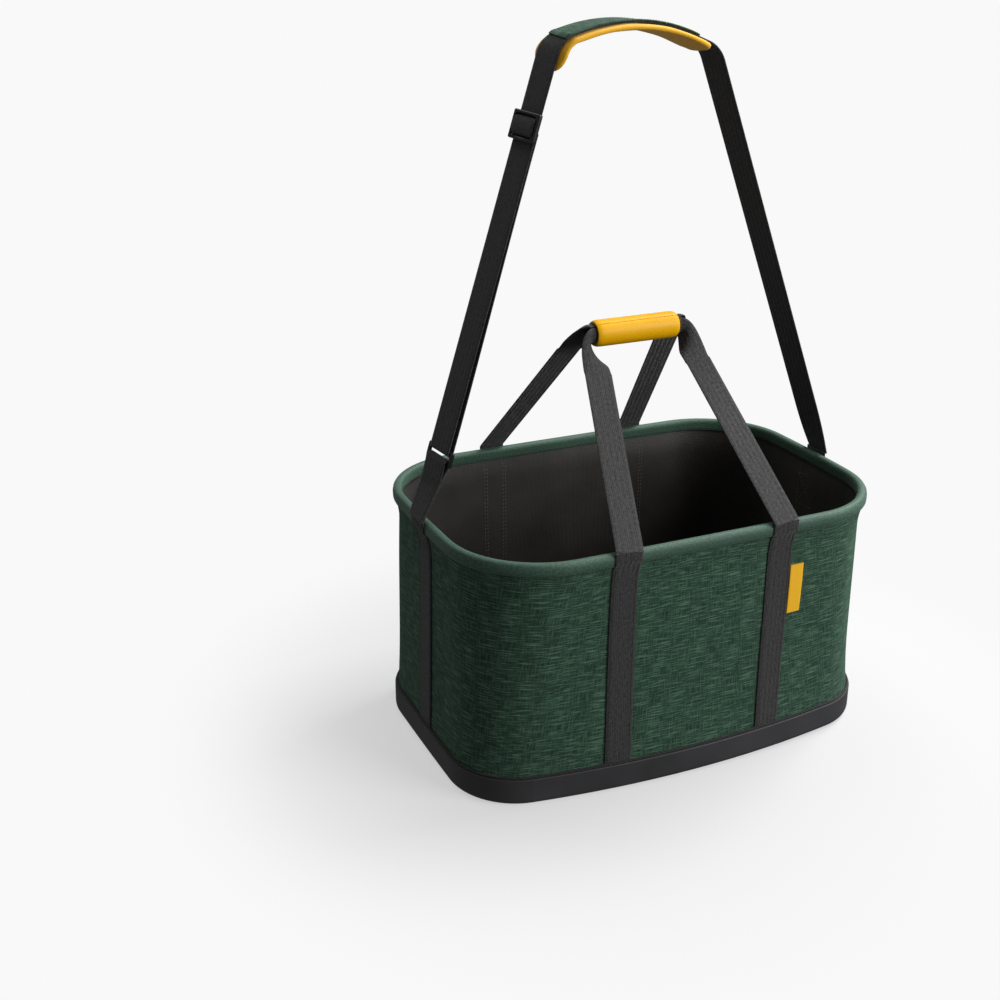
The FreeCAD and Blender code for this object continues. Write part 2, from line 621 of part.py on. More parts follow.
def strap():
    web, thick = size("Sheet.strap_web"), size("Sheet.web_thick")
    bar, slot = size("Sheet.ring_bar"), size("Sheet.ring_slot_tall")
    ring_thick = size("Sheet.ring_thick")
    ring_drop = thick / 2 + ring_thick / 2
    upper_bar = slot / 2 + bar / 2
    body = doc.addObject("PartDesign::Body", "Ring")
    slot_wide = "strap_web + ring_slack"
    plate(body, "ring", f"{slot_wide} + 2 * ring_bar", "ring_slot_tall + 2 * ring_bar",
          [(slot_wide, "ring_slot_tall", "0")], "ring_thick", "strap_ring", 0, -ring_drop)

    # the strap turns round the ring's upper bar and runs back to the slide as a second layer
    main = arch_ribbon(-thick / 2, thick / 2, web, upper_bar)
    lower_layer = -ring_drop * 2
    below = upper_bar - bar / 2 - thick
    turn = flat_strip(below, upper_bar + bar, web, thick)
    floor = Part.makeBox(web, thick, 2 * ring_drop, Vector(-web / 2, below, lower_layer))
    back = flat_strip(below, upper_bar + bar, web, thick, lower_layer)
    loop = turn.fuse([floor, back])
    loop.Placement = strap_placement(0, 0)
    shape_node("Webbing", main.fuse(loop).removeSplitter(), "strap_webbing")

    along = strap_axes()[0]
    slide_place = size("Sheet.slide_rise - Sheet.strap_ring_rise") / along.z
    slide_half = size("Sheet.slide_tall / 2")
    gap = size("Sheet.joint_gap")
    layer = flat_strip(upper_bar + bar, slide_place - slide_half, web, thick, lower_layer)
    shape_node("ReturnLayer", layer, "strap_return", strap_placement(0, 0))

    slot_tall = "(slide_tall - 3 * slide_bar) / 2"
    slot_wide = "strap_web + slide_slack"
    slots = [(slot_wide, slot_tall, f"{sign}(({slot_tall} + slide_bar) / 2)") for sign in ("-", "")]
    body = doc.addObject("PartDesign::Body", "Slide")
    face = thick / 2 + gap
    frame_out = face + size("Sheet.slide_thick / 2")
    plate(body, "slide", f"{slot_wide} + 2 * slide_bar_side", "slide_tall", slots, "slide_thick",
          "slider_frame", slide_place, frame_out)
    reach = size("Sheet.slide_bar / 2") + thick
    over = Part.makeBox(web, 2 * reach, thick, Vector(-web / 2, -reach, size("Sheet.slide_thick / 2")))
    sides = [Part.makeBox(web, thick, size("Sheet.slide_thick"),
                          Vector(-web / 2, y, -size("Sheet.slide_thick / 2")))
             for y in (-reach, reach - thick)]
    wrap = over.fuse(sides).removeSplitter()
    shape_node("SlideWrap", wrap, "slider_wrap", strap_placement(slide_place, frame_out))

    height = size("Sheet.rim_height + Sheet.pad_end_rise")
    pad_low = -thick / 2 - size("Sheet.pad_thick")
    cushion = above(arch_ribbon(pad_low, -thick / 2, size("Sheet.pad_wide")), height)
    shape_node("PadCushion", cushion, "pad_cushion")
    cover = above(arch_ribbon(thick / 2, thick / 2 + size("Sheet.cover_thick"),
                              size("Sheet.cover_wide")), height)
    shape_node("PadCover", cover, "pad_cover")


def strap_ends():
    """The ring's tab at the left end of the rim, and the strap's first stretch at the right."""
    thick, web, gap = (size(f"Sheet.{word}") for word in ("web_thick", "strap_web", "joint_gap"))
    lower_bar = size("Sheet.ring_slot_tall / 2 + Sheet.ring_bar / 2")
    ring_drop = thick / 2 + size("Sheet.ring_thick / 2")
    hole = math.hypot(size("Sheet.ring_bar"), size("Sheet.ring_thick")) / 2 + gap
    place = strap_placement(-lower_bar, -ring_drop)
    eye = place.Base
    along, across, normal = strap_axes()
    foot = strap_foot(-1) + Vector(thick / 2, 0, 0)
    top = rectangle(eye, across, web, 2 * (hole + thick), normal)
    neck = eye - along * (3 * (hole + thick))
    tab = Part.makeLoft([rectangle(foot, Vector(0, -1, 0), web, 2 * thick, Vector(-1, 0, 0)),
                         rectangle(neck, across, web, 2 * thick, normal), top], True, True)
    barrel = Part.makeCylinder(hole + thick, web, eye - across * (web / 2), across)
    drill = Part.makeCylinder(hole, 2 * web, eye - across * web, across)
    shape_node("Tab", tab.fuse(barrel).cut(drill).removeSplitter(), "left_strap_tab")

    points = arch_points()
    run = points[-2].sub(points[-1]).normalize()
    out = Vector(run.z, 0, -run.x)
    high = points[-1] + run * (size("Sheet.root_length") - gap)
    ends = [rectangle(points[-1], Vector(0, -1, 0), web, thick, Vector(1, 0, 0)),
            rectangle(high, strap_across(), web, thick, out)]
    shape_node("Root", Part.makeLoft(ends, True, True), "right_strap_root")


tray()
board()
lining_dish()
walls()
piping()
label()
rim()
handles()
strap()
strap_ends()
doc.recompute()

faults = [f"{made.Name}: {made.State}" for made in doc.Objects
          if "Invalid" in made.State or "Error" in made.State]
faults += [f"{made.Label}: bad shape" for made in NODES
           if made.Shape.isNull() or not made.Shape.isValid() or made.Shape.Volume < 1]
if faults:
    raise RuntimeError("; ".join(faults))
os.makedirs("parts", exist_ok=True)
for made in NODES:
    made.Shape.exportStep(f"parts/{made.Label}.step")
print(len(NODES), "sub-parts written")
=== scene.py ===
import math

import bmesh
import bpy
from mathutils import Matrix, Vector, noise


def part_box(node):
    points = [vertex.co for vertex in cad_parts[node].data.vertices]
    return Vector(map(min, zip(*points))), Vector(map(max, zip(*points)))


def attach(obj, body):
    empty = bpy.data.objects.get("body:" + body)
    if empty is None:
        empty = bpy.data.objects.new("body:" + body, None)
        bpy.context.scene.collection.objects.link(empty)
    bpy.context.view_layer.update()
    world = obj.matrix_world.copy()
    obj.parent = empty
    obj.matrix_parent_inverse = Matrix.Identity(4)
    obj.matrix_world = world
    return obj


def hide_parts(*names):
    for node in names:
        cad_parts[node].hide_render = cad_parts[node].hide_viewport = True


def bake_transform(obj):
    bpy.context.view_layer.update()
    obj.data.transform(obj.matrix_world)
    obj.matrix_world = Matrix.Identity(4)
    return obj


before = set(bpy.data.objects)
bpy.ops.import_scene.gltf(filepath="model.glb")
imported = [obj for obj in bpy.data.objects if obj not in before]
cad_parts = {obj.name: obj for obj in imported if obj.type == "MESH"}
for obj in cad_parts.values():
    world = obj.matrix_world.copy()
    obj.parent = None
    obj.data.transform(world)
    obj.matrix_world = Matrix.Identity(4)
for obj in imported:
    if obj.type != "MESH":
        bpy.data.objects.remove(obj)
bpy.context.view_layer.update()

MM = 0.001

# ---- studio: camera, lights and floor ----
# A seamless white sweep lit by one large softbox from the right and above, a broad front fill, a
# softbox behind and a bright room, so shadows are short and soft.
scene = bpy.context.scene
scene.view_settings.view_transform = "Standard"
bpy.ops.object.camera_add(location=(-0.7606, -1.3270, 0.8959),
                          rotation=(math.radians(90 - 22.3), 0, math.radians(-24.13)))
scene.camera = bpy.context.object
scene.camera.data.lens = 50.13
scene.camera.data.clip_end = 200


def linear(code):
    """The linear colour of an sRGB hex code, with an alpha of one."""
    parts = [int(code[i:i + 2], 16) / 255 for i in (1, 3, 5)]
    return [c / 12.92 if c <= 0.04045 else ((c + 0.055) / 1.055) ** 2.4 for c in parts] + [1]


def add(tree, kind, links=None, **settings):
    """Adds a node with its settings, and gives its inputs values or the sockets that feed them."""
    made = tree.nodes.new(kind)
    for name, value in settings.items():
        setattr(made, name, value)
    for socket, value in (links or {}).items():
        if isinstance(value, bpy.types.NodeSocket):
            tree.links.new(value, made.inputs[socket])
        else:
            made.inputs[socket].default_value = value
    return made


def finish(name):
    """A new material whose tree is empty, and that tree."""
    made = bpy.data.materials.new(name)
    made.use_nodes = True
    made.node_tree.nodes.clear()
    return made, made.node_tree


for place, aim, wide, power in (((1.9, 0.3, 2.5), (0.0, 0.0, 0.15), 1.5, 104),
                                ((1.7, -2.2, 1.5), (0.1, 0.0, 0.2), 1.6, 72),
                                ((-0.4, 1.5, 3.0), (0.0, 0.0, 0.2), 2.0, 24)):
    turn = (Vector(aim) - Vector(place)).to_track_quat("-Z", "Y").to_euler()
    bpy.ops.object.light_add(type="AREA", location=place, rotation=turn)
    bpy.context.object.data.size = wide
    bpy.context.object.data.energy = power

room = bpy.data.worlds.new("studio")
room.use_nodes = True
room.node_tree.nodes["Background"].inputs["Color"].default_value = linear("#fafafa")
room.node_tree.nodes["Background"].inputs["Strength"].default_value = 0.19
scene.world = room

# The sweep is lit paper under the basket and, past 0.6 m, as bright as the white behind it. It throws
# no light back, so the basket is lit by the softboxes and the room alone.
bpy.ops.mesh.primitive_plane_add(size=160)
floor = bpy.context.object
floor.name = "floor"
floor.visible_diffuse = floor.visible_glossy = False
paper, tree = finish("matte_white_background_paper")
place = add(tree, "ShaderNodeTexCoord")
away = add(tree, "ShaderNodeVectorMath", {0: place.outputs["Object"]}, operation="LENGTH")
far = add(tree, "ShaderNodeMapRange", {"Value": away.outputs["Value"], "From Min": 0.28, "From Max": 0.60,
                                        "To Min": 0.55},
          interpolation_type="SMOOTHSTEP")
lit = add(tree, "ShaderNodeBsdfPrincipled", {"Base Color": linear("#cecece"), "Roughness": 0.9,
                                             "Specular IOR Level": 0.1})
white = add(tree, "ShaderNodeEmission", {"Color": linear("#f9f9f9"), "Strength": 1.0})
mixed = add(tree, "ShaderNodeMixShader", {0: far.outputs[0], 1: lit.outputs[0], 2: white.outputs[0]})
add(tree, "ShaderNodeOutputMaterial", {"Surface": mixed.outputs[0]})
floor.data.materials.append(paper)

# ---- base tray ----
# The stiff tray under the basket: polypropylene, injection moulded in one piece with a spark-eroded
# grain of about 1 mm that scatters the light, so it looks matte and slightly cloudy.
moulded, tree = finish("grained_charcoal_polypropylene")
place = add(tree, "ShaderNodeTexCoord")
grain = add(tree, "ShaderNodeTexNoise", {"Vector": place.outputs["Object"], "Scale": 900.0, "Detail": 3.0})
cloud = add(tree, "ShaderNodeTexNoise", {"Vector": place.outputs["Object"], "Scale": 14.0, "Detail": 4.0})
tone = add(tree, "ShaderNodeValToRGB", {"Fac": cloud.outputs["Fac"]})
tone.color_ramp.elements[0].color, tone.color_ramp.elements[1].color = linear("#28282a"), linear("#37373a")
tone.color_ramp.elements[0].position, tone.color_ramp.elements[1].position = 0.3, 0.7
rough = add(tree, "ShaderNodeMapRange", {"Value": grain.outputs["Fac"], "To Min": 0.5, "To Max": 0.68})
bump = add(tree, "ShaderNodeBump", {"Height": grain.outputs["Fac"], "Strength": 0.25, "Distance": 0.0004})
shader = add(tree, "ShaderNodeBsdfPrincipled",
             {"Base Color": tone.outputs["Color"], "Roughness": rough.outputs[0], "IOR": 1.49,
              "Normal": bump.outputs[0]})
add(tree, "ShaderNodeOutputMaterial", {"Surface": shader.outputs[0]})
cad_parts["base_tray"].data.materials.clear()
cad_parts["base_tray"].data.materials.append(moulded)

# ---- outline of the basket ----
# The rim and the tray have the same kind of outline: eight arcs that run into each other, two
# ends, two sides and four corners. Each is half its length and depth, and its three radii.
RIM = [v * MM for v in (265, 177.5, 110, 12000, 2000)]
TRAY = [v * MM for v in (266, 176, 82, 1200, 8000)]
TRAY_TOP, WALL_TOP = 0.033, 0.2796
WALL_LOW_INSET, WALL_HIGH_INSET = 0.004, 0.008
# how far the cloth waists in all round, and how much more at the right end
WAIST, END_WAIST = 0.0008, 0.0034
# how far it flares out under the binding, and over what height
FLARE, FLARE_TALL = 0.0042, 0.028
# how unevenly it hangs, how deep its pleats are, and over what height they fade
HANG, PLEAT, PLEAT_TALL = 0.0014, 0.0011, 0.045


def arcs(form, inset):
    """The eight arcs of an outline moved inwards: centre, radius, first and last angle of each."""
    half_x, half_y, corner, side, end = (value - inset for value in form)
    low, high = Vector((0, half_y - side)), Vector((half_x - end, 0))
    span = high - low
    along = ((side - corner) ** 2 - (end - corner) ** 2 + span.length ** 2) / (2 * span.length)
    across = math.sqrt((side - corner) ** 2 - along ** 2)
    unit = span.normalized()
    found = [low + unit * along + Vector((-unit.y, unit.x)) * across * sign for sign in (1, -1)]
    middle = max(found, key=lambda point: min(point))
    from_end = math.atan2(middle.y, middle.x - (half_x - end))
    from_side = math.atan2(middle.y - (half_y - side), middle.x)
    turn = math.pi
    return [(Vector((half_x - end, 0)), end, -from_end, from_end),
            (middle, corner, from_end, from_side),
            (Vector((0, half_y - side)), side, from_side, turn - from_side),
            (Vector((-middle.x, middle.y)), corner, turn - from_side, turn - from_end),
            (Vector((end - half_x, 0)), end, turn - from_end, turn + from_end),
            (-middle, corner, turn + from_end, turn + from_side),
            (Vector((0, side - half_y)), side, turn + from_side, 2 * turn - from_side),
            (Vector((middle.x, -middle.y)), corner, 2 * turn - from_side, 2 * turn - from_end)]


def outline(form, inset, place):
    """The point and the outward direction at a place on an outline, from 0 to 8, one for each arc."""
    number = int(place) % 8
    share = place - int(place)
    centre, radius, first, last = arcs(form, inset)[number]
    angle = first + (last - first) * share
    out = Vector((math.cos(angle), math.sin(angle), 0))
    return centre.to_3d() + out * radius, out


def places(end, corner, side):
    """Places all round the outline, with so many steps on each end, corner and side."""
    steps = (end, corner, side, corner) * 2
    return [arc + i / count for arc, count in enumerate(steps) for i in range(count)] + [8]


def side_place(x, front, height):
    """The place on the front or back of the wall, at a height, whose x is the one given."""
    share = (height - TRAY_TOP) / (WALL_TOP - TRAY_TOP)
    low, high = (6, 7) if front else (2, 3)
    sign = 1 if front else -1
    for _ in range(20):
        middle = (low + high) / 2
        spot = outline(TRAY, WALL_LOW_INSET, middle)[0].lerp(outline(RIM, WALL_HIGH_INSET, middle)[0], share)
        if (spot.x - x) * sign < 0:
            low = middle
        else:
            high = middle
    return (low + high) / 2


def wall_face(place, height, out=0.0):
    """A point on the outer face of the wall or moved out from it, and the outward direction.

    The cloth waists in a little above the tray, flares out into the binding and hangs in shallow
    pleats below it, most of all at the two ends.
    """
    share = (height - TRAY_TOP) / (WALL_TOP - TRAY_TOP)
    low, low_out = outline(TRAY, WALL_LOW_INSET, place)
    high, high_out = outline(RIM, WALL_HIGH_INSET, place)
    point = low.lerp(high, share)
    normal = low_out.lerp(high_out, share).normalized()
    end = abs(normal.x) ** 2
    inside = max(0.0, min(1.0, share))
    waist = math.sin(math.pi * inside ** 0.62) ** 1.5
    flare = max(0.0, 1 - (WALL_TOP - height) / FLARE_TALL) ** 2
    fade = math.exp(-(WALL_TOP - height) / PLEAT_TALL) * min(1.0, (WALL_TOP - height) / 0.006 + 0.2)
    soft = noise.noise(Vector((point.x * 9, point.y * 9, height * 7)))
    pleat = noise.noise(Vector((point.x * 75, point.y * 75, height * 6)))
    held = min(1.0, inside * 14) * min(1.0, (1 - inside) * 10)
    move = (-waist * (WAIST + END_WAIST * end * (normal.x > 0)) + flare * FLARE
            + soft * HANG * held + pleat * PLEAT * fade * (0.25 + 0.75 * end))
    return Vector((point.x, point.y, height)) + normal * (move + out), normal


# ---- piping ----
# A filler cord covered in black polyester, sewn into the seam between the wall and the tray. It
# is 3 mm thick, and its twist shows as a faint slanting rib.
PIPING_RADIUS = 0.0015
thread_black, tree = finish("black_polyester_cord")
place = add(tree, "ShaderNodeTexCoord")
twist = add(tree, "ShaderNodeTexWave", {"Vector": place.outputs["Object"], "Scale": 110.0,
                                        "Distortion": 0.4}, bands_direction="DIAGONAL")
bump = add(tree, "ShaderNodeBump", {"Height": twist.outputs["Fac"], "Strength": 0.5, "Distance": 0.0004})
tone = add(tree, "ShaderNodeValToRGB", {"Fac": twist.outputs["Fac"]})
tone.color_ramp.elements[0].color, tone.color_ramp.elements[1].color = linear("#0c0c0d"), linear("#1d1d1f")
shader = add(tree, "ShaderNodeBsdfPrincipled",
             {"Base Color": tone.outputs["Color"], "Roughness": 0.8, "Normal": bump.outputs[0],
              "Sheen Weight": 0.2, "Sheen Roughness": 0.4})
add(tree, "ShaderNodeOutputMaterial", {"Surface": shader.outputs[0]})

low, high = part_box("tray_piping")
path = bpy.data.curves.new("tray_piping_path", "CURVE")
path.dimensions = "3D"
line = path.splines.new("POLY")
round_trip = places(12, 16, 40)[:-1]
line.points.add(len(round_trip) - 1)
for point, place in zip(line.points, round_trip):
    spot = outline(TRAY, WALL_LOW_INSET - PIPING_RADIUS - 0.0001, place)[0]
    point.co = (spot.x, spot.y, (low.z + high.z) / 2, 1)
line.use_cyclic_u = True
path.bevel_depth, path.bevel_resolution = PIPING_RADIUS, 3
cord = bpy.data.objects.new("piping_cord", path)
scene.collection.objects.link(cord)
bpy.ops.object.select_all(action="DESELECT")
cord.select_set(True)
bpy.context.view_layer.objects.active = cord
bpy.ops.object.convert(target="MESH")
cord = bpy.context.object
cord.data.materials.append(thread_black)
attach(cord, "base")
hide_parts("tray_piping")

# ---- base board ----
# A stiff 2.5 mm fibreboard sheet on the tray's floor that keeps it flat under a load. It is
# pressed from grey pulp, so its face has short random fibres.
pulp, tree = finish("grey_fibreboard")
place = add(tree, "ShaderNodeTexCoord")
fibre = add(tree, "ShaderNodeTexNoise", {"Vector": place.outputs["Object"], "Scale": 420.0, "Detail": 5.0,
                                         "Distortion": 0.6})
tone = add(tree, "ShaderNodeValToRGB", {"Fac": fibre.outputs["Fac"]})
tone.color_ramp.elements[0].color, tone.color_ramp.elements[1].color = linear("#4c4a46"), linear("#6d6a64")
bump = add(tree, "ShaderNodeBump", {"Height": fibre.outputs["Fac"], "Strength": 0.3, "Distance": 0.0003})
shader = add(tree, "ShaderNodeBsdfPrincipled",
             {"Base Color": tone.outputs["Color"], "Roughness": 0.85, "Normal": bump.outputs[0]})
add(tree, "ShaderNodeOutputMaterial", {"Surface": shader.outputs[0]})
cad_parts["base_board"].data.materials.clear()
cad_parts["base_board"].data.materials.append(pulp)

# ---- lining ----
# Near-black coated polyester inside the basket: one dish over the board and up the tray, one belt
# up the wall. Its plain weave is 0.5 mm, drawn at 2 mm, and the coating gives it a dull shine.
LINING_THICK = 0.0006
lining_cloth, tree = finish("coated_black_polyester_lining")
chart = add(tree, "ShaderNodeUVMap", uv_map="cloth")
warp = add(tree, "ShaderNodeTexWave", {"Vector": chart.outputs[0], "Scale": 157.0}, bands_direction="X")
weft = add(tree, "ShaderNodeTexWave", {"Vector": chart.outputs[0], "Scale": 157.0}, bands_direction="Y")
weave = add(tree, "ShaderNodeMath", {0: warp.outputs["Fac"], 1: weft.outputs["Fac"]}, operation="MULTIPLY")
crease_and_shade = add(tree, "ShaderNodeTexNoise", {"Vector": chart.outputs[0], "Scale": 16.0, "Detail": 5.0})
high_low = add(tree, "ShaderNodeMath", {0: crease_and_shade.outputs["Fac"], 1: 6.0, 2: weave.outputs[0]},
               operation="MULTIPLY_ADD")
bump = add(tree, "ShaderNodeBump", {"Height": high_low.outputs[0], "Strength": 0.35, "Distance": 0.0006})
# The colour follows the crease relief and is darker in its low folds: painted shade in the creases.
tone = add(tree, "ShaderNodeValToRGB", {"Fac": crease_and_shade.outputs["Fac"]})
tone.color_ramp.elements[0].color, tone.color_ramp.elements[1].color = linear("#181512"), linear("#26221e")
tone.color_ramp.elements[0].position, tone.color_ramp.elements[1].position = 0.35, 0.65
shader = add(tree, "ShaderNodeBsdfPrincipled",
             {"Base Color": tone.outputs["Color"], "Roughness": 0.55, "Normal": bump.outputs[0],
              "Sheen Weight": 0.1})
add(tree, "ShaderNodeOutputMaterial", {"Surface": shader.outputs[0]})


def laid_cloth(name, columns, rows, lay, material, thick):
    """A sheet of cloth made from a grid: lay(u, v) gives each point and its place on the flat cloth.

    The sheet is given its thickness towards its inner side, and its chart is in metres.
    """
    bpy.ops.object.select_all(action="DESELECT")
    bpy.ops.mesh.primitive_grid_add(x_subdivisions=columns, y_subdivisions=rows, size=1)
    piece = bpy.context.object
    piece.name = name
    mesh = piece.data
    chart = mesh.uv_layers.active
    chart.name = "cloth"
    for loop in mesh.loops:
        u, v = chart.data[loop.index].uv
        chart.data[loop.index].uv = lay(u, v)[1]
    for vertex in mesh.vertices:
        vertex.co = lay(vertex.co.x + 0.5, vertex.co.y + 0.5)[0]
    bpy.ops.object.mode_set(mode="EDIT")
    bpy.ops.mesh.select_all(action="SELECT")
    bpy.ops.mesh.remove_doubles(threshold=0.00005)
    bpy.ops.object.mode_set(mode="OBJECT")
    piece.data.materials.append(material)
    if thick:
        thicken(piece, thick)
    bpy.ops.object.shade_smooth_by_angle(angle=math.radians(50))
    return piece


def thicken(piece, thick):
    """Gives a sheet its thickness on the side that its faces point away from."""
    bpy.ops.object.modifier_add(type="SOLIDIFY")
    piece.modifiers[-1].thickness = thick
    piece.modifiers[-1].offset = -1
    bpy.ops.object.modifier_apply(modifier=piece.modifiers[-1].name)


BELT = places(16, 22, 56)
RUN = [0.0]
for first, last in zip(BELT, BELT[1:]):
    RUN.append(RUN[-1] + (wall_face(last, 0.15)[0] - wall_face(first, 0.15)[0]).length)


def belt_cloth(name, low, high, out, material, thick):
    """A belt of cloth round the wall between two heights, with its outer face moved out."""
    columns, rows = len(BELT) - 1, 44

    def lay(u, v):
        number = round(u * columns)
        height = low + (high - low) * v
        return wall_face(BELT[number] % 8, height, out)[0], (RUN[number], height)
    return laid_cloth(name, columns, rows, lay, material, thick)


lining = belt_cloth("lining_belt", 0.034, WALL_TOP, -0.0016, lining_cloth, LINING_THICK)
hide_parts("wall_lining")

low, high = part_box("base_lining")
DISH = [(0.0, high.z), (0.0, low.z + 0.009), (0.0025, low.z + 0.003), (0.008, low.z + 0.0008),
        (0.03, low.z + 0.0008), (0.09, low.z + 0.0009), (0.15, low.z + 0.0008)]
dish_half = high.x - 0.0003


def dish_point(u, v):
    """A point on the dish's upper face: v runs from its top edge down and in to the middle."""
    number = round(v * 12) / 2
    step = min(int(number), len(DISH) - 2)
    (inset, height), (more, lower) = DISH[step], DISH[step + 1]
    share = number - step
    inset, height = inset + (more - inset) * share, height + (lower - height) * share
    place = BELT[round(u * (len(BELT) - 1))] % 8
    whole = outline(TRAY, TRAY[0] - dish_half, place)[0]
    point = whole * (1 - inset / 0.17)
    return Vector((point.x, point.y, height)), (point.x, point.y + height)


dish = laid_cloth("lining_dish", len(BELT) - 1, 12, dish_point, lining_cloth, 0.0)
bpy.ops.object.mode_set(mode="EDIT")
bpy.ops.mesh.select_all(action="DESELECT")
bpy.ops.object.mode_set(mode="OBJECT")
for edge in dish.data.edges:
    ends = [dish.data.vertices[v].co for v in edge.vertices]
    edge.select = all(abs(p.z - DISH[-1][1]) < 1e-4 and Vector((p.x / 1.5, p.y)).length < 0.03 for p in ends)
bpy.ops.object.mode_set(mode="EDIT")
bpy.ops.mesh.select_mode(type="EDGE")
bpy.ops.mesh.edge_face_add()
bpy.ops.object.mode_set(mode="OBJECT")
thicken(dish, LINING_THICK)
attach(dish, "base")
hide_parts("base_lining")

# ---- stitches ----
# Bonded polyester sewing thread, 0.6 mm thick with 3 mm stitches. One stitch is a short rounded
# run of thread whose two ends dive into the cloth, and it is copied along every seam.
STITCH, THREAD = 0.0034, 0.00034
seam_thread, tree = finish("bonded_black_sewing_thread")
place = add(tree, "ShaderNodeTexCoord")
ply = add(tree, "ShaderNodeTexNoise", {"Vector": place.outputs["Object"], "Scale": 900.0})
bump = add(tree, "ShaderNodeBump", {"Height": ply.outputs["Fac"], "Strength": 0.4, "Distance": 0.0002})
tone = add(tree, "ShaderNodeValToRGB", {"Fac": ply.outputs["Fac"]})
tone.color_ramp.elements[0].color, tone.color_ramp.elements[1].color = linear("#1b1b1c"), linear("#343436")
shader = add(tree, "ShaderNodeBsdfPrincipled",
             {"Base Color": tone.outputs["Color"], "Roughness": 0.5, "Normal": bump.outputs[0]})
add(tree, "ShaderNodeOutputMaterial", {"Surface": shader.outputs[0]})
pale_thread, tree = finish("bonded_drab_sewing_thread")
place = add(tree, "ShaderNodeTexCoord")
ply = add(tree, "ShaderNodeTexNoise", {"Vector": place.outputs["Object"], "Scale": 900.0})
tone = add(tree, "ShaderNodeValToRGB", {"Fac": ply.outputs["Fac"]})
tone.color_ramp.elements[0].color, tone.color_ramp.elements[1].color = linear("#5a5246"), linear("#857b6b")
shader = add(tree, "ShaderNodeBsdfPrincipled", {"Base Color": tone.outputs["Color"], "Roughness": 0.6})
add(tree, "ShaderNodeOutputMaterial", {"Surface": shader.outputs[0]})

bpy.ops.mesh.primitive_cylinder_add(vertices=6, radius=THREAD, depth=0.0022, rotation=(0, math.pi / 2, 0))
stitch = bpy.context.object
stitch.name = "stitch_pattern"
bpy.ops.object.transform_apply(location=False, rotation=True, scale=True)
bpy.ops.object.mode_set(mode="EDIT")
bpy.ops.mesh.select_all(action="SELECT")
bpy.ops.mesh.bisect(plane_co=(0.0007, 0, 0), plane_no=(1, 0, 0))
bpy.ops.mesh.select_all(action="SELECT")
bpy.ops.mesh.bisect(plane_co=(-0.0007, 0, 0), plane_no=(1, 0, 0))
bpy.ops.object.mode_set(mode="OBJECT")
for vertex in stitch.data.vertices:
    if abs(vertex.co.x) > 0.001:
        vertex.co = Vector((vertex.co.x * 1.15, vertex.co.y * 0.5, vertex.co.z * 0.5 - THREAD * 0.9))
for face in stitch.data.polygons:
    face.use_smooth = True
stitch_mesh = stitch.data
bpy.data.objects.remove(stitch)
stitch_mesh.name = "stitch_pattern"


def sew(piece, thread, seams, pitch=STITCH):
    """Sews stitches on a piece. Each seam is a run of points, each with the way its cloth faces."""
    material = len(piece.data.materials)
    piece.data.materials.append(thread)
    sewn = bmesh.new()
    sewn.from_mesh(piece.data)
    for seam in seams:
        done, wanted = 0.0, pitch / 2
        for (a, out_a), (b, _) in zip(seam, seam[1:]):
            length = (b - a).length
            if length < 1e-7:
                continue
            along = (b - a) / length
            side = out_a.cross(along).normalized()
            up = along.cross(side)
            while wanted < done + length:
                spot = a + along * (wanted - done) + up * THREAD * 0.35
                one = stitch_mesh.copy()
                one.transform(Matrix(((along.x, side.x, up.x, spot.x), (along.y, side.y, up.y, spot.y),
                                      (along.z, side.z, up.z, spot.z), (0, 0, 0, 1))))
                before = len(sewn.faces)
                sewn.from_mesh(one)
                sewn.faces.ensure_lookup_table()
                for face in sewn.faces[before:]:
                    face.material_index = material
                bpy.data.meshes.remove(one)
                wanted += pitch
            done += length
    sewn.to_mesh(piece.data)
    sewn.free()
    return piece


def up_wall(spot, height):
    """The place at a height of a line that goes straight up the wall: at an x of a side, or at an end."""
    return side_place(spot[0], spot[1], height) if isinstance(spot, tuple) else spot


def wall_seam(spot, low, high, out, facing=1, shift=0.0, steps=40):
    """A seam straight up the wall, moved along it by a shift, from one height to another."""
    seam = []
    for i in range(steps + 1):
        height = low + (high - low) * i / steps
        point, normal = wall_face(up_wall(spot, height), height, out)
        seam.append((point + Vector((-normal.y, normal.x, 0)) * shift, normal * facing))
    return seam


INNER, SEAM_LOW, SEAM_HIGH = -0.0022, 0.036, 0.276
BAND_X = 0.098
seams = [wall_seam((x, False), SEAM_LOW, SEAM_HIGH, INNER, -1, shift)
         for x in (-BAND_X, BAND_X) for shift in (-0.0145, -0.0110, 0.0110, 0.0145)]
seams += [wall_seam((x, True), SEAM_LOW, SEAM_HIGH, INNER, -1, shift)
          for x in (-BAND_X, BAND_X) for shift in (-0.0145, 0.0145)]
for place in (0.5, 4.5):
    seams += [wall_seam(place, SEAM_LOW, SEAM_HIGH, INNER, -1, shift) for shift in (-0.0150, 0.0150)]
    corners = [(-0.015, 0.222), (0.015, 0.222), (0.015, 0.262), (-0.015, 0.262)]
    for (x1, z1), (x2, z2) in zip(corners + corners[:2], corners[1:] + corners[:1] + corners[2:]):
        run = []
        for i in range(13):
            point, normal = wall_face(place, z1 + (z2 - z1) * i / 12, INNER)
            run.append((point + Vector((-normal.y, normal.x, 0)) * (x1 + (x2 - x1) * i / 12), -normal))
        seams.append(run)
sew(lining, pale_thread, seams, 0.005)
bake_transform(lining)

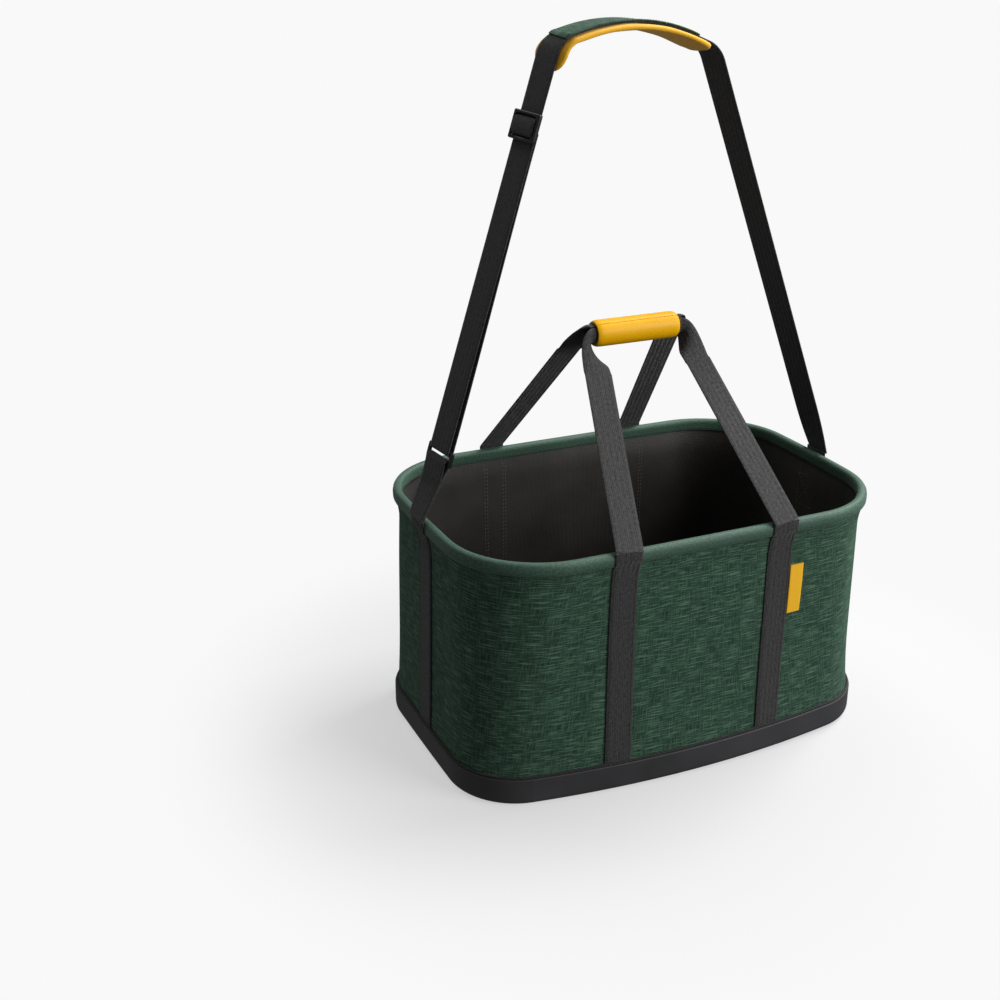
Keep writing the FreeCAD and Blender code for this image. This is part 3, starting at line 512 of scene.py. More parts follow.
# ---- wall cloth ----
# Dark green heather polyester canvas. Two shades of yarn of uneven thickness are woven, so lighter
# slubs 1 to 2 mm thick and 5 to 25 mm long lie across a darker ground, with finer ones upright.
wall_cloth, tree = finish("green_heather_polyester_canvas")
chart = add(tree, "ShaderNodeUVMap", uv_map="cloth")
flat_map = add(tree, "ShaderNodeMapping", {"Vector": chart.outputs[0], "Scale": (44, 760, 1)})
tall_map = add(tree, "ShaderNodeMapping", {"Vector": chart.outputs[0], "Scale": (620, 60, 1)})
slub = add(tree, "ShaderNodeTexNoise", {"Vector": flat_map.outputs[0], "Scale": 1.0, "Detail": 3.0,
                                        "Roughness": 0.62}, noise_dimensions="2D")
upright = add(tree, "ShaderNodeTexNoise", {"Vector": tall_map.outputs[0], "Scale": 1.0, "Detail": 2.0},
              noise_dimensions="2D")
patch = add(tree, "ShaderNodeTexNoise", {"Vector": chart.outputs[0], "Scale": 22.0, "Detail": 3.0},
            noise_dimensions="2D")
slub_light = add(tree, "ShaderNodeMapRange", {"Value": slub.outputs["Fac"], "From Min": 0.5,
                                              "From Max": 0.74})
up_light = add(tree, "ShaderNodeMapRange", {"Value": upright.outputs["Fac"], "From Min": 0.54,
                                            "From Max": 0.8, "To Max": 0.7})
up_dark = add(tree, "ShaderNodeMapRange", {"Value": upright.outputs["Fac"], "From Min": 0.46,
                                           "From Max": 0.3, "To Max": 0.8})
ground = add(tree, "ShaderNodeMix", {0: patch.outputs["Fac"], 6: linear("#213a2d"), 7: linear("#294736")},
             data_type="RGBA")
darker = add(tree, "ShaderNodeMix", {0: up_dark.outputs[0], 6: ground.outputs[2], 7: linear("#142820")},
             data_type="RGBA")
lighter = add(tree, "ShaderNodeMix", {0: slub_light.outputs[0], 6: darker.outputs[2], 7: linear("#5d8069")},
              data_type="RGBA")
shade = add(tree, "ShaderNodeMix", {0: up_light.outputs[0], 6: lighter.outputs[2], 7: linear("#4d6b59")},
            data_type="RGBA")
warp = add(tree, "ShaderNodeTexWave", {"Vector": chart.outputs[0], "Scale": 210.0}, bands_direction="X")
weft = add(tree, "ShaderNodeTexWave", {"Vector": chart.outputs[0], "Scale": 210.0}, bands_direction="Y")
weave = add(tree, "ShaderNodeMath", {0: warp.outputs["Fac"], 1: weft.outputs["Fac"]}, operation="MULTIPLY")
relief = add(tree, "ShaderNodeMath", {0: slub.outputs["Fac"], 1: 1.6, 2: weave.outputs[0]},
             operation="MULTIPLY_ADD")
bump = add(tree, "ShaderNodeBump", {"Height": relief.outputs[0], "Strength": 0.45, "Distance": 0.0006})
shader = add(tree, "ShaderNodeBsdfPrincipled",
             {"Base Color": shade.outputs[2], "Roughness": 0.85, "Normal": bump.outputs[0],
              "Specular IOR Level": 0.25, "Sheen Weight": 0.12, "Sheen Roughness": 0.5,
              "Sheen Tint": linear("#9fc4b2")})
add(tree, "ShaderNodeOutputMaterial", {"Surface": shader.outputs[0]})

wall = belt_cloth("wall_canvas", TRAY_TOP, WALL_TOP, 0.0, wall_cloth, 0.0012)
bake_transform(wall)
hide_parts("wall_fabric")

# ---- binding ----
# Smooth green polyester tape folded over the steel hoop and the wall's top edge and sewn through
# near its lower edge. Its fold is full and round outside, with a ridge along the inner top edge.
HEM_HEIGHT = 0.2832
binding_tape, tree = finish("folded_green_polyester_tape")
chart = add(tree, "ShaderNodeUVMap", uv_map="cloth")
fine = add(tree, "ShaderNodeTexWave", {"Vector": chart.outputs[0], "Scale": 260.0, "Distortion": 0.6},
           bands_direction="X")
fleck = add(tree, "ShaderNodeTexNoise", {"Vector": chart.outputs[0], "Scale": 380.0, "Detail": 2.0},
            noise_dimensions="2D")
tone = add(tree, "ShaderNodeValToRGB", {"Fac": fleck.outputs["Fac"]})
tone.color_ramp.elements[0].color, tone.color_ramp.elements[1].color = linear("#2d4a3c"), linear("#3f5f4d")
tone.color_ramp.elements[0].position, tone.color_ramp.elements[1].position = 0.35, 0.7
bump = add(tree, "ShaderNodeBump", {"Height": fine.outputs["Fac"], "Strength": 0.25, "Distance": 0.0003})
shader = add(tree, "ShaderNodeBsdfPrincipled",
             {"Base Color": tone.outputs["Color"], "Roughness": 0.62, "Normal": bump.outputs[0],
              "Sheen Weight": 0.25, "Sheen Roughness": 0.35, "Sheen Tint": linear("#b6d6c6")})
add(tree, "ShaderNodeOutputMaterial", {"Surface": shader.outputs[0]})
# each corner of the folded tape: its inset from the rim's outer edge and its height, outer side first
FOLD = [(3.4, 280.0), (1.6, 280.6), (0.6, 282.4), (0.1, 285.5), (0.0, 288.5), (0.5, 291.4), (1.8, 293.5),
        (3.8, 294.7), (5.9, 295.0), (7.9, 294.8), (9.5, 293.9), (10.6, 292.3), (11.0, 290.0),
        (10.6, 287.0), (10.3, 284.0), (10.2, 281.6), (9.6, 280.4), (8.4, 280.0)]
AROUND = [0.0]
for (a, b), (c, d) in zip(FOLD, FOLD[1:] + FOLD[:1]):
    AROUND.append(AROUND[-1] + math.hypot(c - a, d - b) * MM)


def binding_point(u, v):
    """A point on the folded tape: u runs round the rim, v from the outer hem over to the inner one."""
    number, step = round(u * (len(BELT) - 1)), round(v * len(FOLD))
    inset, height = FOLD[step % len(FOLD)]
    ripple = noise.noise(Vector((RUN[number] * 28, step * 0.6, 4.0))) * 0.00022
    point, out = outline(RIM, inset * MM, BELT[number] % 8)
    return point + out * ripple + Vector((0, 0, height * MM)), (RUN[number], AROUND[step])


binding = laid_cloth("binding_tape", len(BELT) - 1, len(FOLD), binding_point, binding_tape, 0.0)
hem, inner_hem = [[(outline(RIM, inset, place % 8)[0] + Vector((0, 0, HEM_HEIGHT)),
                    outline(RIM, 0, place % 8)[1] * facing) for place in BELT]
                  for inset, facing in ((0.0006, 1), (0.0104, -1))]
sew(binding, seam_thread, [hem, inner_hem], 0.0036)
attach(binding, "rim")
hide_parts("rim_binding")

# ---- hoop ----
# The rim's spring: 4 mm hard-drawn steel wire bent to the outline, its ends joined in a crimped
# sleeve. Both are zinc plated and lie hidden inside the binding.
zinc, tree = finish("zinc_plated_spring_steel")
place = add(tree, "ShaderNodeTexCoord")
plate = add(tree, "ShaderNodeTexNoise", {"Vector": place.outputs["Object"], "Scale": 240.0, "Detail": 3.0})
rough = add(tree, "ShaderNodeMapRange", {"Value": plate.outputs["Fac"], "To Min": 0.25, "To Max": 0.45})
shader = add(tree, "ShaderNodeBsdfPrincipled", {"Base Color": linear("#b8babd"), "Metallic": 1.0,
                                                "Roughness": rough.outputs[0]})
add(tree, "ShaderNodeOutputMaterial", {"Surface": shader.outputs[0]})
for name in ("rim_wire", "wire_sleeve"):
    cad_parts[name].data.materials.clear()
    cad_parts[name].data.materials.append(zinc)

# ---- bands on the wall ----
# Charcoal polyester webbing, 1.7 mm thick with a fine herringbone rib, sewn flat up the wall by a
# row of stitches along each selvedge and barred across just below the binding.
WEB_THICK, HANDLE_WEB, STRAP_WEB = 0.0017, 0.032, 0.036
webbing, tree = finish("charcoal_herringbone_webbing")
chart = add(tree, "ShaderNodeUVMap", uv_map="cloth")
split = add(tree, "ShaderNodeSeparateXYZ", {0: chart.outputs[0]})
zigzag = add(tree, "ShaderNodeMath", {0: split.outputs[0], 1: 0.0030}, operation="PINGPONG")
slant = add(tree, "ShaderNodeMath", {0: zigzag.outputs[0], 1: 0.9, 2: split.outputs[1]},
            operation="MULTIPLY_ADD")
ribbed = add(tree, "ShaderNodeCombineXYZ", {0: slant.outputs[0]})
rib = add(tree, "ShaderNodeTexWave", {"Vector": ribbed.outputs[0], "Scale": 196.0}, bands_direction="X")
ends = add(tree, "ShaderNodeTexWave", {"Vector": chart.outputs[0], "Scale": 150.0}, bands_direction="X")
relief = add(tree, "ShaderNodeMath", {0: ends.outputs["Fac"], 1: 0.4, 2: rib.outputs["Fac"]},
             operation="MULTIPLY_ADD")
fuzz = add(tree, "ShaderNodeTexNoise", {"Vector": chart.outputs[0], "Scale": 300.0, "Detail": 3.0},
           noise_dimensions="2D")
both = add(tree, "ShaderNodeMath", {0: relief.outputs[0], 1: fuzz.outputs["Fac"]}, operation="MULTIPLY")
tone = add(tree, "ShaderNodeValToRGB", {"Fac": both.outputs[0]})
tone.color_ramp.elements[0].color, tone.color_ramp.elements[1].color = linear("#141414"), linear("#4b4a4c")
tone.color_ramp.elements[0].position, tone.color_ramp.elements[1].position = 0.1, 0.75
bump = add(tree, "ShaderNodeBump", {"Height": relief.outputs[0], "Strength": 0.7, "Distance": 0.0006})
shader = add(tree, "ShaderNodeBsdfPrincipled",
             {"Base Color": tone.outputs["Color"], "Roughness": 0.72, "Normal": bump.outputs[0],
              "Specular IOR Level": 0.35, "Sheen Weight": 0.15, "Sheen Roughness": 0.4})
add(tree, "ShaderNodeOutputMaterial", {"Surface": shader.outputs[0]})


def cut_end(width, thick, across=8):
    """The outline of a webbing's cut end, its faces level and its two selvedges rounded."""
    flat = width / 2 - thick / 2
    upper = [(flat - 2 * flat * i / across, thick / 2) for i in range(across + 1)]
    left = [(-flat - thick / 2 * math.sin(math.pi * i / 4), thick / 2 * math.cos(math.pi * i / 4))
            for i in range(1, 4)]
    lower = [(-x, -y) for x, y in upper]
    right = [(-x, -y) for x, y in left]
    return upper + left + lower + right


def woven_band(name, frames, section, material):
    """A band of cloth through frames, each a centre, a way across, a way out, two scales and a curl.

    The section is scaled in width and thickness at each frame. A curl rolls its width round an arc
    that turns away from the way out, and stays as wide when laid flat.
    """
    points, chart, length = [], [], 0.0
    last = None
    for centre, across, out, wide, deep, curl in frames:
        length += (centre - last).length if last else 0.0
        last = centre
        for x, y in section:
            x, y = x * wide, y * deep
            if curl:
                x, y = ((curl + y) * math.sin(x / curl), (curl + y) * math.cos(x / curl) - curl)
            points.append(centre + across * x + out * y)
        chart.append(length)
    count, rows = len(section), len(frames)
    faces, spots = [], []
    for i in range(rows - 1):
        for j in range(count):
            j2, i2 = (j + 1) % count, i + 1
            faces.append((i * count + j, i * count + j2, i2 * count + j2, i2 * count + j))
            spots += [(section[j][0], chart[i]), (section[j2][0], chart[i]),
                      (section[j2][0], chart[i2]), (section[j][0], chart[i2])]
    faces.append(tuple(range(count))[::-1])
    spots += [(section[j][0], section[j][1]) for j in range(count)][::-1]
    faces.append(tuple((rows - 1) * count + j for j in range(count)))
    spots += [(section[j][0], length + section[j][1]) for j in range(count)]
    mesh = bpy.data.meshes.new(name)
    mesh.from_pydata(points, [], faces)
    layer = mesh.uv_layers.new(name="cloth")
    layer.data.foreach_set("uv", [value for spot in spots for value in spot])
    mesh.materials.append(material)
    piece = bpy.data.objects.new(name, mesh)
    scene.collection.objects.link(piece)
    bpy.ops.object.select_all(action="DESELECT")
    piece.select_set(True)
    bpy.context.view_layer.objects.active = piece
    bpy.ops.object.mode_set(mode="EDIT")
    bpy.ops.mesh.select_all(action="SELECT")
    bpy.ops.mesh.normals_make_consistent(inside=False)
    bpy.ops.object.mode_set(mode="OBJECT")
    bpy.ops.object.shade_smooth_by_angle(angle=math.radians(50))
    return piece


def seam_on(frames, shift, out, step=1):
    """A seam along a band at a distance from its middle, on its outer face."""
    return [(centre + across * shift * wide + facing * out, facing)
            for centre, across, facing, wide, _, _ in frames[::step]]


def bar_on(frame_at, width, out):
    """A short seam straight across a band at one of its frames."""
    centre, across, facing, _, _, _ = frame_at
    return [(centre + across * width * (i / 6 - 0.5) + facing * out, facing) for i in range(7)]


BAND_LOW = 0.0362
bands = [("front_left_band", (-BAND_X, True), HANDLE_WEB), ("front_right_band", (BAND_X, True), HANDLE_WEB),
         ("back_left_band", (-BAND_X, False), HANDLE_WEB), ("back_right_band", (BAND_X, False), HANDLE_WEB),
         ("left_end_band", 4.5, STRAP_WEB), ("right_end_band", 0.5, STRAP_WEB)]
for node, spot, wide in bands:
    frames = []
    for i in range(61):
        height = BAND_LOW + (WALL_TOP - BAND_LOW) * i / 60
        point, out = wall_face(up_wall(spot, height), height, WEB_THICK / 2 + 0.0001)
        frames.append((point, Vector((-out.y, out.x, 0)), out, 1.0, 1.0, None))
    band = woven_band(node + "_webbing", frames, cut_end(wide, WEB_THICK), webbing)
    face = WEB_THICK / 2
    seams = [seam_on(frames, shift, face, 4) for shift in (-wide / 2 + 0.003, wide / 2 - 0.003)]
    seams += [bar_on(frames[i], wide - 0.006, face) for i in (55, 56, 1)]
    sew(band, seam_thread, seams)
    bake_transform(band)
    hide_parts(node)

# ---- band tops ----
# The same webbing where it steps out over the binding. It lies against the tape and leaves it at
# the top, where the handles and the strap begin.
for node, spot, wide in bands:
    place = up_wall(spot, WALL_TOP)
    base, out = wall_face(place, WALL_TOP, 0)
    across = Vector((-out.y, out.x, 0))
    rim_point = outline(RIM, 0, place % 8)[0]
    start = (base - rim_point).dot(out) + WEB_THICK / 2 + 0.0001
    profile = [(start, 0.2796), ((start + 0.0009) / 2, 0.2815), (0.0009, 0.2838), (0.0010, 0.2875),
               (0.0009, 0.2915), (0.0010, 0.2945), (0.0013, 0.2966)]
    frames = []
    for i, (x, z) in enumerate(profile):
        before, after = profile[max(i - 1, 0)], profile[min(i + 1, len(profile) - 1)]
        slope = Vector((after[0] - before[0], after[1] - before[1])).normalized()
        facing = (out * slope.y - Vector((0, 0, 1)) * slope.x).normalized()
        frames.append((rim_point + out * x + Vector((0, 0, z)), across, facing, 1.0, 1.0, None))
    top = woven_band(node + "_step", frames, cut_end(wide, WEB_THICK), webbing)
    sew(top, seam_thread, [bar_on(frames[3], wide - 0.006, WEB_THICK / 2)])
    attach(top, "rim")
    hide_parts(node + "_top")

# ---- side label ----
# A damask-woven yellow tab, folded in two and caught in the seam of the front right band. It is
# left plain.
low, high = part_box("side_label")
label_cloth, tree = finish("yellow_damask_label")
chart = add(tree, "ShaderNodeUVMap", uv_map="cloth")
fine = add(tree, "ShaderNodeTexWave", {"Vector": chart.outputs[0], "Scale": 330.0}, bands_direction="Y")
cross = add(tree, "ShaderNodeTexWave", {"Vector": chart.outputs[0], "Scale": 330.0}, bands_direction="X")
weave = add(tree, "ShaderNodeMath", {0: fine.outputs["Fac"], 1: cross.outputs["Fac"]}, operation="MULTIPLY")
tone = add(tree, "ShaderNodeValToRGB", {"Fac": weave.outputs[0]})
tone.color_ramp.elements[0].color, tone.color_ramp.elements[1].color = linear("#f4b410"), linear("#ffca28")
bump = add(tree, "ShaderNodeBump", {"Height": weave.outputs[0], "Strength": 0.3, "Distance": 0.0002})
shader = add(tree, "ShaderNodeBsdfPrincipled",
             {"Base Color": tone.outputs["Color"], "Roughness": 0.6, "Normal": bump.outputs[0]})
add(tree, "ShaderNodeOutputMaterial", {"Surface": shader.outputs[0]})
LABEL_THICK = 0.0009
tall = high.z - low.z
frames = []
for i in range(25):
    share = i / 24
    x = (low.x + high.x) / 2
    height = low.z + tall * share
    point, out = wall_face(side_place(x, True, height), height, 0.0008 + LABEL_THICK)
    puff = 0.0005 * math.sin(math.pi * share)
    across = Vector((-out.y, out.x, 0))
    frames.append((point + out * puff, across, (out - across * 0.05).normalized(), 1.0, 1.0, None))
label = woven_band("side_label_tab", frames, cut_end(high.x - low.x, LABEL_THICK * 1.6), label_cloth)
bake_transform(label)
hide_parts("side_label")

# ---- handle legs ----
# Each handle is one length of the same webbing. Its legs lie flat and straight, then roll up and
# turn on edge over the last 40 mm to run into the grip.
GRIP_LONG, GRIP_RADIUS, GRIP_WALL, CLEAR = 0.104, 0.015, 0.0036, 0.005
low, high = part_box("grip_front_half")
GRIP = Vector(((low.x + high.x) / 2, 0, low.z + GRIP_RADIUS))
SEAM = math.radians(56)
WEB_ROLL = GRIP_RADIUS - GRIP_WALL - 0.0006 - WEB_THICK / 2
LEG_FOOT_Y, LEG_FOOT_Z, LEG_TURN = 0.1787, 0.2958, 0.042


def turned(start, end, share):
    """The three directions of a frame part of the way from one frame's to another's."""
    spins = [Matrix((across, along, across.cross(along))).transposed().to_quaternion()
             for across, along in (start, end)]
    mixed = spins[0].slerp(spins[1], share).to_matrix()
    return mixed.col[0].copy(), mixed.col[1].copy(), mixed.col[2].copy()


for word, front in (("front", -1), ("back", 1)):
    facing = Vector((0, math.sin(SEAM), math.cos(SEAM))) * front
    for hand, side in (("left", -1), ("right", 1)):
        foot = Vector((side * BAND_X, front * LEG_FOOT_Y, LEG_FOOT_Z))
        head = GRIP + Vector((side * (GRIP_LONG / 2 + CLEAR), 0, 0)) + facing * WEB_ROLL
        run = (head - foot).normalized()
        wide_way = (Vector((1, 0, 0)) - run * run.x).normalized() * side * front
        if wide_way.cross(run).dot(Vector((0, front, 0))) < 0:
            wide_way = -wide_way
        into = Vector((-side, 0, 0))
        level = into.cross(facing).normalized()
        if level.cross(into).dot(facing) < 0:
            level = -level
        neck = head - run * LEG_TURN
        length = (neck - foot).length
        frames = []
        for i in range(41):
            frames.append((foot + run * length * i / 40, wide_way, wide_way.cross(run), 1.0, 1.0, None))
        for i in range(1, 23):
            share = i / 22
            ease = share * share * (3 - 2 * share)
            p = [neck, neck + run * 0.024, head - into * 0.006, head]
            q = 1 - share
            centre = p[0] * q ** 3 + p[1] * 3 * q * q * share + p[2] * 3 * q * share ** 2 + p[3] * share ** 3
            across, along, out = turned((wide_way, run), (level, into), ease)
            curl = WEB_ROLL / max(0.12, share ** 1.3)
            frames.append((centre, across, out, 1 - 0.05 * ease, 1.0, curl))
        leg = woven_band(f"{word}_{hand}_leg_webbing", frames, cut_end(HANDLE_WEB, WEB_THICK, 14), webbing)
        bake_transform(leg)
        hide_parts(f"{word}_{hand}_leg")

# ---- webbing inside the grip ----
# The stretch of each handle that the grip holds, rolled to follow its inside.
    frames = []
    for i in range(13):
        share = i / 12
        x = (GRIP_LONG / 2 + CLEAR) * (2 * share - 1)
        centre = GRIP + Vector((x, 0, 0)) + facing * WEB_ROLL
        frames.append((centre, Vector((1, 0, 0)).cross(facing), facing, 0.95, 1.0, WEB_ROLL))
    inside = woven_band(f"{word}_grip_webbing", frames, cut_end(HANDLE_WEB, WEB_THICK, 14), webbing)
    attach(inside, f"{word}_handle")
    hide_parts(f"{word}_grip_web")

# ---- grip ----
# Two half sleeves of yellow silicone rubber, one on each handle, pressed together when the basket
# is carried. They are compression moulded, so the surface is satin and every edge is rounded.
silicone, tree = finish("yellow_silicone_rubber")
place = add(tree, "ShaderNodeTexCoord")
mottle = add(tree, "ShaderNodeTexNoise", {"Vector": place.outputs["Object"], "Scale": 30.0, "Detail": 3.0})
skin = add(tree, "ShaderNodeTexNoise", {"Vector": place.outputs["Object"], "Scale": 1400.0})
tone = add(tree, "ShaderNodeValToRGB", {"Fac": mottle.outputs["Fac"]})
tone.color_ramp.elements[0].color, tone.color_ramp.elements[1].color = linear("#efae00"), linear("#f7ba05")
rough = add(tree, "ShaderNodeMapRange", {"Value": mottle.outputs["Fac"], "To Min": 0.38, "To Max": 0.5})
bump = add(tree, "ShaderNodeBump", {"Height": skin.outputs["Fac"], "Strength": 0.08, "Distance": 0.0002})
shader = add(tree, "ShaderNodeBsdfPrincipled",
             {"Base Color": tone.outputs["Color"], "Roughness": rough.outputs[0], "IOR": 1.42,
              "Normal": bump.outputs[0], "Specular IOR Level": 0.3, "Subsurface Weight": 0.08,
              "Subsurface Scale": 0.003})
add(tree, "ShaderNodeOutputMaterial", {"Surface": shader.outputs[0]})

for word, front in (("front", -1), ("back", 1)):
    facing = Vector((0, math.sin(SEAM), math.cos(SEAM))) * front
    bpy.ops.object.select_all(action="DESELECT")
    bpy.ops.mesh.primitive_cylinder_add(vertices=96, radius=GRIP_RADIUS, depth=GRIP_LONG,
                                        end_fill_type="NOTHING", location=GRIP,
                                        rotation=(0, math.pi / 2, 0))
    shell = bpy.context.object
    shell.name = f"grip_{word}_shell"
    bpy.ops.object.transform_apply(location=True, rotation=True, scale=True)
    bpy.ops.object.mode_set(mode="EDIT")
    for x in (-0.0490, -0.0450, -0.025, 0, 0.025, 0.0450, 0.0490):
        bpy.ops.mesh.select_all(action="SELECT")
        bpy.ops.mesh.bisect(plane_co=GRIP + Vector((x, 0, 0)), plane_no=(1, 0, 0))
    bpy.ops.mesh.select_all(action="SELECT")
    bpy.ops.mesh.bisect(plane_co=GRIP + facing * 0.0003, plane_no=facing, clear_inner=True)
    bpy.ops.mesh.select_all(action="SELECT")
    bpy.ops.mesh.normals_make_consistent(inside=False)
    bpy.ops.object.mode_set(mode="OBJECT")
    for vertex in shell.data.vertices:
        off = vertex.co - GRIP
        reach = abs(off.x) / (GRIP_LONG / 2)
        shrink = 1 - 0.10 * max(0.0, (reach - 0.9) / 0.1) ** 2
        vertex.co = GRIP + Vector((off.x, off.y * shrink, off.z * shrink))
    outwards = sum(face.normal.dot(face.center - GRIP - Vector((face.center.x - GRIP.x, 0, 0)))
                   for face in shell.data.polygons)
    if outwards < 0:
        shell.data.flip_normals()
    thicken(shell, GRIP_WALL)
    bpy.ops.object.modifier_add(type="BEVEL")
    shell.modifiers[-1].width, shell.modifiers[-1].segments = 0.0013, 3
    shell.modifiers[-1].limit_method, shell.modifiers[-1].angle_limit = "ANGLE", math.radians(50)
    bpy.ops.object.modifier_apply(modifier=shell.modifiers[-1].name)
    bpy.ops.object.shade_smooth_by_angle(angle=math.radians(60))
    shell.data.materials.append(silicone)
    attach(shell, f"{word}_handle")
    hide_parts(f"grip_{word}_half")

# ---- shoulder strap ----
# The strap runs from a ring at the left end up over the pad to the right end of the rim. Its line
# is three straight runs joined by bends, and it is turned a little so that its face shows.
LINE = [Vector((x * MM, 0, z * MM)) for x, z in ((-240, 366), (-109, 794), (-18, 819), (78, 781))]
LINE.append(Vector((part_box("right_strap_root")[1].x - WEB_THICK / 2, 0, 0.297)))
BENDS = [0.028, 0.200, 0.036]
ACROSS = Vector((math.sin(math.radians(12)), -math.cos(math.radians(12)), 0))
ROOT, ROOT_LAP, TAB_FOOT = 0.064, 0.0018, 0.2956


def strap_run(start, end_short, offset=0.0, fine=1):
    """Frames along the strap's line, from a distance past its start to one short of its end."""
    runs = [(b - a).normalized() for a, b in zip(LINE, LINE[1:])]
    outs = [Vector((-run.z, 0, run.x)) for run in runs]
    stops = [(LINE[0] + runs[0] * start, outs[0])]
    for i, radius in enumerate(BENDS):
        half = runs[i].angle(runs[i + 1]) / 2
        centre = LINE[i + 1] - runs[i] * radius * math.tan(half) - outs[i] * radius
        steps = (10, 24, 10)[i] * fine
        for k in range(steps + 1):
            out = outs[i].slerp(outs[i + 1], k / steps)
            stops.append((centre + out * radius, out))
    stops.append((LINE[-1] - runs[-1] * end_short, outs[-1]))
    frames = []
    for (a, out_a), (b, out_b) in zip(stops, stops[1:]):
        count = max(1, int((b - a).length / 0.008))
        frames += [(a.lerp(b, k / count), out_a.lerp(out_b, k / count).normalized()) for k in range(count)]
    frames.append(stops[-1])
    made = []
    for point, out in frames:
        along = Vector((out.z, 0, -out.x))
        across = (ACROSS - along * ACROSS.dot(along)).normalized()
        facing = across.cross(along)
        facing = facing if facing.dot(out) > 0 else -facing
        made.append((point + out * offset, across, facing, 1.0, 1.0, None))
    return made


RING_DROP, RING_BAR, RING_SLOT, RING_THICK = 0.00285, 0.0045, 0.008, 0.004
ALONG = (LINE[1] - LINE[0]).normalized()
LEG_ACROSS = (ACROSS - ALONG * ACROSS.dot(ALONG)).normalized()
LEG_OUT = LEG_ACROSS.cross(ALONG)


def on_leg(distance, out, shift=0.0):
    """A point on the strap's left leg: so far along it, out of its face and across it."""
    return LINE[0] + ALONG * distance + LEG_OUT * out + LEG_ACROSS * shift


UPPER_BAR = RING_SLOT / 2 + RING_BAR / 2
centre = on_leg(UPPER_BAR, -RING_DROP)
loop = []
for i in range(11):
    angle = math.pi * i / 10
    out = LEG_OUT * math.cos(math.pi - angle) - ALONG * math.sin(angle)
    loop.append((centre + out * (RING_DROP + 0.0002), LEG_ACROSS, out, 1.0, 1.0, None))
tail = [(on_leg(UPPER_BAR + 0.010 * (1 - k / 3), -2 * RING_DROP - 0.0002), LEG_ACROSS, -LEG_OUT,
         1.0, 1.0, None) for k in range(3)]
frames = tail + loop + strap_run(UPPER_BAR + 0.004, ROOT)
strap = woven_band("strap_webbing_band", frames, cut_end(STRAP_WEB, WEB_THICK), webbing)
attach(strap, "strap")
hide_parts("strap_webbing")

low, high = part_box("slider_frame")
SLIDE = ((low + high) / 2 - LINE[0]).dot(ALONG)
frames = []
for k in range(49):
    share = k / 48
    distance = UPPER_BAR + 0.010 + (SLIDE - 0.004 - UPPER_BAR - 0.010) * share
    close = share * share * (3 - 2 * share)
    out = -2 * RING_DROP - 0.0002 + (2 * RING_DROP - WEB_THICK - 0.0004) * close
    frames.append((on_leg(distance, out), LEG_ACROSS, -LEG_OUT, 1.0, 1.0, None))
doubled = woven_band("strap_return_band", frames, cut_end(STRAP_WEB, WEB_THICK), webbing)
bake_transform(doubled)
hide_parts("strap_return")

foot = LINE[-1]
run = (LINE[-1] - LINE[-2]).normalized()
across_top = strap_run(0.02, ROOT)[-1][1]
frames = []
for k in range(17):
    share = k / 16
    point = foot - run * (ROOT - (ROOT + ROOT_LAP) * share)
    across = across_top.lerp(Vector((0, -1, 0)), share ** 2).normalized()
    along = run.lerp(Vector((0, 0, -1)), max(0.0, share - 0.6) / 0.4).normalized()
    across = (across - along * across.dot(along)).normalized()
    facing = across.cross(along)
    facing = facing if facing.x > 0 else -facing
    frames.append((point, across, facing, 1.0, 1.0, None))
root = woven_band("right_strap_root_band", frames, cut_end(STRAP_WEB, WEB_THICK), webbing)
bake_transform(root)
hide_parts("right_strap_root")

# ---- ring tab ----
# A doubled length of webbing that starts at the left end of the rim, goes round the ring's lower
# bar and comes back down, barred across below the ring.
LOWER_BAR = -UPPER_BAR
EYE = 0.0045
eye = on_leg(LOWER_BAR, -RING_DROP)
low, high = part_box("left_strap_tab")
foot = Vector((low.x + WEB_THICK, 0, TAB_FOOT))
reach = (eye - foot).length
frames = []
for side in (1, -1):
    layer = []
    for k in range(21):
        share = k / 20
        across = Vector((0, -1, 0)).lerp(LEG_ACROSS, min(1.0, share * 1.3)).normalized()
        path = foot.lerp(eye, share)
        along = Vector((0, 0, 1)).lerp(ALONG, min(1.0, share * 1.6)).normalized()
        across = (across - along * across.dot(along)).normalized()
        facing = across.cross(along)
        near = max(0.0, (share - 0.72) / 0.28)
        gape = (WEB_THICK / 2 + 0.0001) + (EYE - WEB_THICK / 2) * near ** 1.4
        rumple = math.sin(share * 9) * 0.0005 * min(1.0, share * 4) * (1 - near)
        layer.append((path + facing * (gape * side + rumple), across, facing * side, 1.0, 1.0, None))
    frames += layer if side > 0 else layer[::-1]
    if side > 0:
        for k in range(1, 10):
            angle = math.pi * k / 10
            out = LEG_OUT * math.cos(angle) + ALONG * math.sin(angle)
            frames.append((eye + out * EYE, LEG_ACROSS, out, 1.0, 1.0, None))
tab = woven_band("left_strap_tab_band", frames, cut_end(STRAP_WEB, WEB_THICK), webbing)
sew(tab, seam_thread, [bar_on(frames[i], STRAP_WEB - 0.005, WEB_THICK / 2) for i in (12, 13, 14)])
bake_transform(tab)
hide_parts("left_strap_tab")

